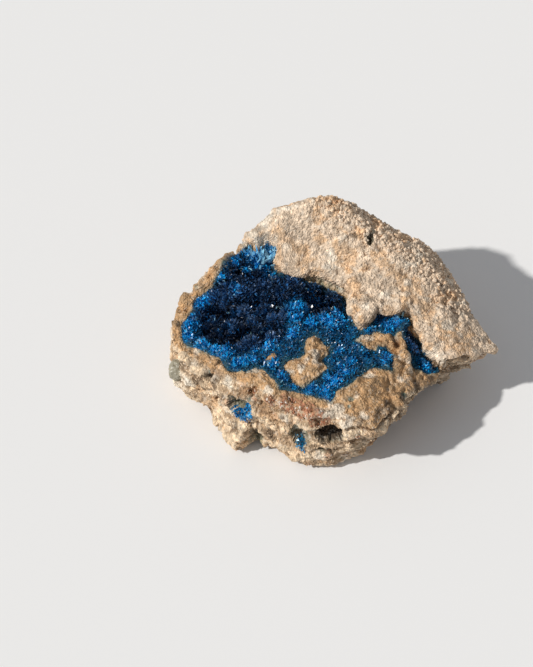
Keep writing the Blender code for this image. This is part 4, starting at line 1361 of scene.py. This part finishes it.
def kinds(x, y):
    """How dark-clustered and how bright each place is, both from 0 to 1 with ragged edges; dark also
    holds painted shadow.
    """
    shift = rough(x, y, 0 * x + 6.0, 1.3 * MM)
    dark = s_curve(depth_inside(x, y, DARK_OUTLINE) / (1.2 * MM) + 0.5 + shift * 0.8)
    bright = 0.0 * x
    for px, py, radius in BRIGHT_SPOTS:
        away = np.hypot(x - px * MM, y - py * MM) / (radius * MM)
        bright = np.maximum(bright, s_curve((1.15 - away + shift * 0.9) * 1.5))
    for px, py, radius in PAINTED_SHADOW_SPOTS:
        away = np.hypot(x - px * MM, y - py * MM) / (radius * MM)
        painted_shadow = s_curve((1.15 - away + shift * 0.6) * 1.5)
        dark, bright = np.maximum(dark, painted_shadow), bright * (1 - painted_shadow)
    return dark * (1 - bright), bright


print("bright places:", len(BRIGHT_SPOTS), "dark places:", len(PAINTED_SHADOW_SPOTS))

# %% [markdown]
# ## The crystals' bed
# The crystals stand on a crust of their own kind. It is a shell over part of the rock's net: one
# side is the crust's top, which bulges into balls where the crystals radiate, and the other is sunk
# in the rock. Only whole cells of the net are taken, so the shell closes round its edge.

# %% Bed
BED_EDGE = 0.10 * MM
BED_BODY = 0.80 * MM
BED_SLOPE = 1.4 * MM
LARGE_BALLS = (2.0 * MM, 1.7 * MM)
SMALL_BALLS = (1.0 * MM, 0.50 * MM)
BED_LUMPS = 2.6 * MM
BED_ROOT = 0.25 * MM


def ball_tops(x, y, spacing, height):
    """Round-topped balls side by side, with deep gaps: 0 in the gaps, height on top."""
    far, tone = crumbs(x, y, 0 * x, spacing)
    return np.sqrt(np.clip(1 - (far / 0.72) ** 2, 0, 1)) * height * (0.55 + 0.45 * tone), tone


def bed_height(x, y, patch):
    """The crust's top: the rock, a body that thickens inwards, and balls, large where it is dark."""
    dark, bright = kinds(x, y)
    large, _ = ball_tops(x, y, *LARGE_BALLS)
    small, _ = ball_tops(x, y, *SMALL_BALLS)
    body = BED_BODY + 0.25 * MM * bright - 0.30 * MM * dark
    body = body + large * dark + small * (1 - dark)
    body = body + rough(x, y, 0 * x + 5.0, BED_LUMPS, 2) * 0.5 * MM
    return upper_side(x, y)[0] + BED_EDGE + s_curve(patch(x, y) / BED_SLOPE) * np.maximum(body, 0)


def whole_cells(wanted):
    """Fills cells so that no two taken cells touch at a corner only."""
    wanted = wanted.copy()
    while True:
        a, b, c, d = wanted[:-1, :-1], wanted[1:, :-1], wanted[1:, 1:], wanted[:-1, 1:]
        first = b & d & ~a & ~c
        second = a & c & ~b & ~d
        if not (first.any() or second.any()):
            return wanted
        a |= first
        b |= second


def crust_bed(name, patch):
    """A closed shell over the net's cells that lie in a patch, and its points' plan positions."""
    x, y = plan_net(TOP_CELLS)
    middle = ((x[:-1, :-1] + x[1:, 1:]) / 2, (y[:-1, :-1] + y[1:, 1:]) / 2)
    taken = whole_cells(patch(*middle) > 0.1 * MM)
    index = np.arange(x.size).reshape(x.shape)
    quads_up = net_quads(index)[taken.ravel()]
    used = np.unique(quads_up)
    number = np.zeros(x.size, int)
    number[used] = np.arange(len(used))
    px, py = x.ravel()[used], y.ravel()[used]
    top = np.column_stack([px, py, bed_height(px, py, patch)])
    low = np.column_stack([px, py, upper_side(px, py)[0] - BED_ROOT])
    up = number[quads_up]
    down = up[:, ::-1] + len(used)
    sides = np.concatenate([up[:, [k, (k + 1) % 4]] for k in range(4)])
    key = np.sort(sides, axis=1) @ [len(used), 1]
    _, where, times = np.unique(key, return_index=True, return_counts=True)
    border = sides[where[times == 1]]
    first, second = border[:, 0], border[:, 1]
    skirt = np.column_stack([second, first, first + len(used), second + len(used)])
    obj = new_piece(name, np.concatenate([top, low]), [up, down, skirt], True)
    return obj, np.tile(px, 2), np.tile(py, 2)


print("the largest balls stand, mm:", round(LARGE_BALLS[1] / MM, 2))

# %% [markdown]
# ## Blue crystals
# Each crystal is a short flat blade with a chisel end, a fraction of a millimetre long. They grow
# straight out of the bed, so on the balls they spread like the seeds of a dandelion. Each gets its
# own brightness, painted sheen and dullness, and the shader turns them into colour. The brightness
# holds painted light on the balls' tops and painted shade in their gaps. Flat shading keeps the
# faces plane, which is what makes them flash.

# %% Crystal bodies


def blade():
    """A flat blade with a slanted chisel end: six corners, three quads and two triangles."""
    corners = [(1.0, 0.4, 0.0), (-1.0, 0.4, 0.0), (-1.0, -0.4, 0.0), (1.0, -0.4, 0.0)]
    corners += [(0.7, 0.0, 1.0), (-0.8, 0.0, 0.82)]
    quads_of = [(3, 2, 1, 0), (0, 1, 5, 4), (2, 3, 4, 5)]
    return np.array(corners), np.array(quads_of), np.array([(1, 2, 5), (3, 0, 4)])


def frames_along(axes, spin):
    """For each axis a rotation matrix whose third column is that axis, spun about it."""
    helper = np.where(np.abs(axes[:, 2:]) < 0.9, [[0.0, 0.0, 1.0]], [[1.0, 0.0, 0.0]])
    side = np.cross(helper, axes)
    side /= np.linalg.norm(side, axis=1, keepdims=True)
    other = np.cross(axes, side)
    c, s = np.cos(spin)[:, None], np.sin(spin)[:, None]
    return np.stack([side * c + other * s, other * c - side * s, axes], axis=2)


def grow(name, rng, base, axes, lengths, widths, looks):
    """One mesh of many blades, each with its foot a little way back from its base.

    Looks holds one number per crystal for each attribute.
    """
    corners, quads_of, ends = blade()
    count = len(base)
    turns = frames_along(axes, rng.uniform(0, 2 * math.pi, count))
    made = copies(corners, turns, np.column_stack([widths, widths, lengths]), base)
    faces = [renumbered(quads_of, len(corners), count), renumbered(ends, len(corners), count)]
    obj = new_piece(name, made, faces, False)
    own = {key: np.repeat(values, len(corners)) for key, values in looks.items()}
    paint(obj, {**own, "height": np.tile(corners[:, 2], count)})
    return obj


def leaning(rng, directions, spread):
    """Each direction tipped by a random vector of that length."""
    axes = directions + rng.normal(size=directions.shape) * spread
    return axes / np.linalg.norm(axes, axis=1, keepdims=True)


print("a blade has", len(blade()[0]), "corners")

# %% [markdown]
# The crystals crowd where the crust is thick and thin out at its edge. Places are drawn at random and
# kept by chance, and a steep side of a ball keeps more of them, since it has more surface than its
# plan shows. None grows under the cap's edge, where it would poke through the rock.

# %% Crystal fields
SLOPE_STEP = 0.06 * MM
STEEPEST = 3.0
TRIES = 9
ROOT, SHORT_ROOT = 0.15 * MM, 0.1 * MM


def scatter(rng, patch, count, box, keep):
    """Random places in a patch, kept with the chance that keep gives, and the bed's normals there."""
    x = rng.uniform(box[0], box[2], count * TRIES) * MM
    y = rng.uniform(box[1], box[3], count * TRIES) * MM
    inside = patch(x, y) + rough(x, y, 0 * x, MARGIN) * MARGIN_RAGGEDNESS > 0
    inside &= cap_depth(x, y) < LEDGE_WIDTH / 2
    x, y = x[inside], y[inside]
    chosen = rng.random(len(x)) < keep(x, y)
    x, y = x[chosen], y[chosen]
    step = SLOPE_STEP
    dx = (bed_height(x + step, y, patch) - bed_height(x - step, y, patch)) / (2 * step)
    dy = (bed_height(x, y + step, patch) - bed_height(x, y - step, patch)) / (2 * step)
    slope = np.sqrt(1 + dx**2 + dy**2)
    kept = np.flatnonzero(rng.random(len(x)) < np.minimum(slope, STEEPEST) / STEEPEST)[:count]
    normal = np.column_stack([-dx, -dy, np.ones(len(x))])[kept] / slope[kept][:, None]
    x, y = x[kept], y[kept]
    return np.column_stack([x, y, bed_height(x, y, patch)]), normal


def crystal_looks(rng, x, y, patch):
    """Each crystal's brightness, with painted light and shade by the balls, painted sheen, dullness
    and paleness, by place and at random.
    """
    dark, bright = kinds(x, y)
    height, cluster = ball_tops(x, y, *LARGE_BALLS)
    top = height / LARGE_BALLS[1]
    low, _ = ball_tops(x, y, *SMALL_BALLS)
    even = 0.42 * (1 - dark) * (1 - bright) + bright * 0.92
    patches = s_curve(rough(x, y, 0 * x + 8.0, 1.5 * MM) * 4)
    # Painted light and shade: crystals on the tops of the balls are lighter, those in the gaps darker.
    level = even * (0.45 + 0.75 * low / SMALL_BALLS[1])
    level = level + dark * (0.34 * cluster**1.5 + 0.16 * patches) * top**1.5
    level = level * rng.uniform(0.20, 1.75, len(x))
    level = level + (rng.random(len(x)) > 0.94) * 0.28 * (0.3 + top)
    # Painted sheen: a grey-blue reflection on the tops of some clusters.
    painted_sheen = dark * s_curve(cluster * 2.4 - 0.7) * top**1.5 * rng.random(len(x)) ** 0.7
    margin = 1 - s_curve(patch(x, y) / (1.3 * MM))
    dull = (1 - dark) * (1 - bright) * 0.55 + margin * 0.7
    dull = np.clip(dull, 0, 1) * rng.uniform(0.3, 1.0, len(x))
    # Pale crystals, more in the bright places, are painted highlights for glints.
    pale = (rng.random(len(x)) < 0.012 + 0.08 * bright) * rng.uniform(0.3, 0.8, len(x))
    return {"bright": level, "painted_sheen": painted_sheen, "dull": dull, "pale": pale}


def crystal_field(name, seed, patch, count, box, keep, spread, length, width):
    """Crystals over a patch's bed, shorter near its edge.

    Keep gives the chance that a place is used, spread how far the crystals lean, and length and width
    the least and the greatest, in mm.
    """
    rng = np.random.default_rng(seed)
    base, normal = scatter(rng, patch, count, box, keep)
    x, y = base[:, 0], base[:, 1]
    edge = 0.40 + 0.60 * s_curve(patch(x, y) / MARGIN)
    lengths = rng.uniform(*length, len(base)) * MM * edge
    widths = rng.uniform(*width, len(base)) * MM * (0.6 + 0.4 * edge)
    axes = leaning(rng, normal, spread)
    looks = crystal_looks(rng, x, y, patch)
    place(grow(name, rng, base - axes * ROOT, axes, lengths, widths, looks), BLUE, "blue_crystal")


print("places tried for each crystal:", TRIES)

# %% [markdown]
# The real crystals are clear, and their colour deepens with the light's way through them. Clear
# bodies this small cost much light and time, and they turn to black specks. So each is given the
# colour that it shows, as painted light and shade: nearly black at its foot, lighter at its tip,
# with a glassy face. The bed below is the same blue with a dull face, so that it doesn't shine
# between them.

# %% Crystal material
DEEP_BLUE = (0.0008, 0.0055, 0.020)
MID_BLUE = (0.0010, 0.130, 0.42)
LIGHT_BLUE = (0.008, 0.42, 0.90)
PAINTED_SHEEN_BLUE = (0.125, 0.175, 0.260)
DULL = (0.018, 0.130, 0.165)
PALE_BLUE = (0.38, 0.70, 0.83)
CRYSTAL_IOR = 1.65
CRYSTAL_GRAINS = 1500.0

# Where deep blue ends and where the middle blue lies, by a crystal's brightness.
DEEP_LEVEL, MID_LEVEL = 0.02, 0.50


def crystal_material(name, roughness):
    """Deep to light blue by each crystal's brightness, with painted light towards its tip and painted
    sheen on some.
    """
    material, tree, shader = new_material(name, roughness)
    shader.inputs["IOR"].default_value = CRYSTAL_IOR
    fine = grain(tree, CRYSTAL_GRAINS)
    # Painted shade at each crystal's foot and painted light towards its tip.
    lift = maths(tree, "MULTIPLY_ADD", attribute(tree, "height"), 0.34, -0.17)
    level = maths(tree, "MULTIPLY_ADD", attribute(tree, "bright"), 0.8, 0.25)
    level = maths(tree, "MULTIPLY", lift, level)
    level = maths(tree, "ADD", level, attribute(tree, "bright"))
    vary = maths(tree, "MULTIPLY_ADD", fine.outputs["Shade"], 0.6, -0.30)
    level = maths(tree, "ADD", level, maths(tree, "MULTIPLY", vary, attribute(tree, "bright")))
    ramp = tree.nodes.new("ShaderNodeValToRGB")
    ramp.color_ramp.elements[0].color = (*DEEP_BLUE, 1.0)
    ramp.color_ramp.elements[0].position = DEEP_LEVEL
    ramp.color_ramp.elements[1].color = (*LIGHT_BLUE, 1.0)
    middle = ramp.color_ramp.elements.new(MID_LEVEL)
    middle.color = (*MID_BLUE, 1.0)
    tree.links.new(level, ramp.inputs["Fac"])
    dulled = maths(tree, "MULTIPLY", attribute(tree, "dull"), 0.8)
    colour = mix(tree, dulled, ramp.outputs["Color"], DULL)
    # Painted sheen, a grey-blue reflection, strongest towards the tips.
    tip = maths(tree, "MULTIPLY", attribute(tree, "painted_sheen"), attribute(tree, "height"))
    colour = mix(tree, tip, colour, PAINTED_SHEEN_BLUE)
    # Pale blades, and pale crystals painted as glints.
    colour = mix(tree, attribute(tree, "pale"), colour, PALE_BLUE)
    tree.links.new(colour, shader.inputs["Base Color"])
    return material


BLUE = crystal_material("blue_crystal", roughness=0.33)
BLUE_BED = crystal_material("blue_bed", roughness=0.75)


def bed_piece(name, patch, node):
    """The bed of one patch, dim where the clusters stand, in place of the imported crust."""
    bed, x, y = crust_bed(name, patch)
    dark, bright = kinds(x, y)
    zero = 0 * x
    looks = {"bright": bright * 0.30 + (1 - dark) * 0.06, "painted_sheen": zero, "pale": zero, "height": zero}
    paint(bed, {**looks, "dull": (1 - dark) * (1 - bright) * 0.5})
    place(bed, BLUE_BED, "blue_crystal", node)


# %% [markdown]
# Each kind of crystal is one mesh, drawn with its own seed. The clustered ones lean least, so their
# balls stay round. The bright ones are tangled, and the fine ones are the shortest.

# %% Beds and crystals, made
bed_piece("crust_bed", main_patch, "druse_main")
bed_piece("groove_bed", groove_patch, "druse_groove")

# The least x and y of each patch, then the greatest, in mm.
MAIN_BOX = (-24.0, -16.0, 13.0, 13.5)
GROOVE_BOX = (10.0, -8.5, 16.5, 0.0)
crystal_field(
    "clustered_crystals", 21, main_patch, 11500, MAIN_BOX,
    keep=lambda x, y: 0.05 + 0.95 * kinds(x, y)[0],
    spread=0.26, length=(0.55, 1.10), width=(0.11, 0.20),
)
crystal_field(
    "bright_crystals", 22, main_patch, 15000, MAIN_BOX,
    keep=lambda x, y: 0.05 + 0.95 * kinds(x, y)[1],
    spread=0.62, length=(0.45, 0.95), width=(0.09, 0.18),
)
crystal_field(
    "fine_crystals", 24, main_patch, 15000, MAIN_BOX,
    keep=lambda x, y: np.clip(1.0 - kinds(x, y)[0] - kinds(x, y)[1], 0.03, 1),
    spread=0.60, length=(0.30, 0.65), width=(0.06, 0.11),
)
crystal_field(
    "groove_crystals", 23, groove_patch, 1800, GROOVE_BOX,
    keep=lambda x, y: 1.0 + 0 * x,
    spread=0.45, length=(0.40, 0.80), width=(0.07, 0.13),
)

# %% [markdown]
# A few tufts of longer, paler blades stand up at the hollow's far edge and at its right end. They
# are made as the others are, with more length and less blue.

# %% Pale blades
# The least and the greatest length and width, in mm, and how far they lean at random.
PALE_LENGTH, PALE_WIDTH, PALE_LEAN = (1.0, 2.0), (0.10, 0.20), 0.22


def pale_blades():
    """Tufts of blades that lean away from each tuft's middle."""
    rng = np.random.default_rng(41)
    tufts = np.concatenate([np.tile([tuft[:4]], (tuft[4], 1)) for tuft in PALE_TUFTS]) * MM
    middle_x, middle_y, z, radius = tufts.T
    x = middle_x + rng.normal(size=len(tufts)) * radius
    y = middle_y + rng.normal(size=len(tufts)) * radius
    base = np.column_stack([x, y, z])
    away = np.column_stack([(x - middle_x) * 0.6, y - middle_y + 0.25 * MM, 0 * x + 0.8 * MM])
    axes = leaning(rng, away / np.linalg.norm(away, axis=1, keepdims=True), PALE_LEAN)
    lengths = rng.uniform(*PALE_LENGTH, len(x)) * MM
    widths = rng.uniform(*PALE_WIDTH, len(x)) * MM
    looks = {"bright": rng.uniform(0.6, 1.0, len(x)), "painted_sheen": 0 * x, "dull": 0 * x}
    looks["pale"] = rng.uniform(0.1, 0.9, len(x))
    base = base - axes * SHORT_ROOT
    place(grow("pale_blades", rng, base, axes, lengths, widths, looks), BLUE, "blue_crystal")


pale_blades()

# %% [markdown]
# ## Crystals in the pits
# Two pits in the front wall have a little blue along one side. These crystals stand on the cells of
# the rock's own net that line the pit there, so none of them floats.

# %% Pit crystals
# The least and the greatest length and width, in mm, and how far they lean at random.
PIT_LENGTH, PIT_WIDTH, PIT_LEAN = (0.30, 0.60), (0.08, 0.15), 0.5


def pit_crystals(name, seed, pit, arc, count, dullness, node):
    """Crystals on those cells of a pit's inside that the arc takes in.

    The arc is a least and a greatest angle round the pit's middle, in degrees, seen from the front
    with 0 at the right, and the least distance from the middle as a share of the radius.
    """
    rng = np.random.default_rng(seed)
    middle, radii = (np.array(v) * MM for v in pit[:2])
    out = ((CELL_CORNERS[0] + CELL_CORNERS[2]) / 2 - middle) / radii
    turn = np.degrees(np.arctan2(out[:, 2], out[:, 0]))
    low, high, inner = arc
    turn = turn + rough(*CELL_CORNERS[0].T, 0.8 * MM) * 50
    within = (turn > low) & (turn < high)
    ring = np.hypot(out[:, 0], out[:, 2]) > inner
    inside = (np.linalg.norm(out, axis=1) < 1.15) & (cavity[quads[:, 0]] > 0.2)
    wanted = CELL_AREAS * within * ring * inside
    cell = rng.choice(len(quads), count, p=wanted / wanted.sum())
    base = on_cells(rng, cell)
    axes = leaning(rng, normals[quads[cell, 0]], PIT_LEAN)
    lengths = rng.uniform(*PIT_LENGTH, count) * MM
    widths = rng.uniform(*PIT_WIDTH, count) * MM
    level = rng.uniform(0.3, 1.4, count)
    looks = {"bright": level, "painted_sheen": 0 * level, "dull": rng.uniform(0.1, dullness, count)}
    looks["pale"] = (level > 1.25) * 0.6
    base = base - axes * SHORT_ROOT
    place(grow(name, rng, base, axes, lengths, widths, looks), BLUE, "blue_crystal", node)
    print(name, "grow on", int((wanted > 0).sum()), "cells")


pit_crystals("left_pit_crystals", 31, LEFT_PIT, (-112, 34, 0.70), 400, 0.5, "druse_vug_left")
pit_crystals("front_pit_crystals", 32, FRONT_PIT, (-125, -62, 0.60), 90, 0.95, "druse_vug_front")

# %% [markdown]
# ## The quartz lump
# A lump of cloudy, grimy quartz stands half out of the left end. It is a ball given by two angles,
# with uneven swells and small knobs, and its poles are closed by fans.

# %% Quartz
QUARTZ_IOR = 1.54
QUARTZ_GRAINS = 900.0
QUARTZ_BUMP = 0.12 * MM
SMOKE = (0.10, 0.085, 0.045)
CLOUD = (0.60, 0.56, 0.44)
QUARTZ_HOLLOW_BROWN = (0.13, 0.10, 0.055)
OLIVE = (0.36, 0.32, 0.22)


def ball(name, middle, radii, rows=60, columns=90):
    """An uneven ball: latitude by longitude, each radius changed by swells and by rounded knobs."""
    lat = np.linspace(0, math.pi, rows + 1)[1:-1]
    lon = np.linspace(0, 2 * math.pi, columns, endpoint=False)
    lat, lon = (c.ravel() for c in np.meshgrid(lat, lon, indexing="ij"))
    unit = np.column_stack([np.sin(lat) * np.cos(lon), np.sin(lat) * np.sin(lon), np.cos(lat)])
    unit = np.concatenate([unit, [[0.0, 0.0, 1.0], [0.0, 0.0, -1.0]]])
    far, tone = crumbs(*(unit.T + 3.0), 0.50)
    domes = np.sqrt(np.clip(1 - far**2, 0, 1)) - 0.75
    size = 1 + 0.24 * rough(*(unit.T + 3.0), 0.9) + 0.36 * domes + 0.12 * rough(*unit.T, 0.25)
    made = np.array(middle) * MM + unit * np.array(radii) * MM * size[:, None]
    index = np.arange((rows - 1) * columns).reshape(rows - 1, columns)
    index = np.concatenate([index, index[:, :1]], axis=1)
    north, south = (rows - 1) * columns, (rows - 1) * columns + 1
    first, last = index[0], index[-1]
    top_fan = np.column_stack([np.full(columns, north), first[:-1], first[1:]])
    low_fan = np.column_stack([np.full(columns, south), last[1:], last[:-1]])
    obj = new_piece(name, made, [net_quads(index), top_fan, low_fan], True)
    paint(obj, {"tone": tone, "hollows": s_curve(-domes * 5)})
    return obj


def quartz_material():
    """Cloudy grey, darker brown in the hollows between the knobs, partly see-through, with a glassy
    skin.
    """
    material, tree, shader = new_material("cloudy_quartz", 0.38)
    shader.inputs["IOR"].default_value = QUARTZ_IOR
    shader.inputs["Transmission Weight"].default_value = 0.15
    broad = grain(tree, QUARTZ_GRAINS)
    colour = mix(tree, broad.outputs["Shade"], SMOKE, CLOUD)
    colour = mix(tree, attribute(tree, "hollows"), colour, QUARTZ_HOLLOW_BROWN)
    colour = mix(tree, maths(tree, "MULTIPLY", attribute(tree, "tone"), 0.4), colour, OLIVE)
    tree.links.new(colour, shader.inputs["Base Color"])
    bump(tree, shader, broad.outputs["Height"], QUARTZ_BUMP, 0.8)
    return material


QUARTZ = quartz_material()
nodule = ball("quartz_lump", *NODULE)
place(nodule, QUARTZ, "quartz", "quartz_nodule")

# %% [markdown]
# ## Floor
# A plain pale floor, which isn't part of the object. The flat underside rests on it.

# %% Floor
FLOOR_HALF = 1.5
FLOOR_PALE = (0.88, 0.88, 0.885, 1.0)


def add_floor():
    """One large level square, with a pale, even finish."""
    corners = np.array([(-1, -1, 0), (1, -1, 0), (1, 1, 0), (-1, 1, 0)]) * FLOOR_HALF
    floor = new_piece("floor", corners, [np.array([[0, 1, 2, 3]])], False)
    material, tree, shader = new_material("pale_floor", 0.8)
    shader.inputs["Base Color"].default_value = FLOOR_PALE
    floor.data.materials.append(material)


add_floor()
print("floor, m:", 2 * FLOOR_HALF, "square")
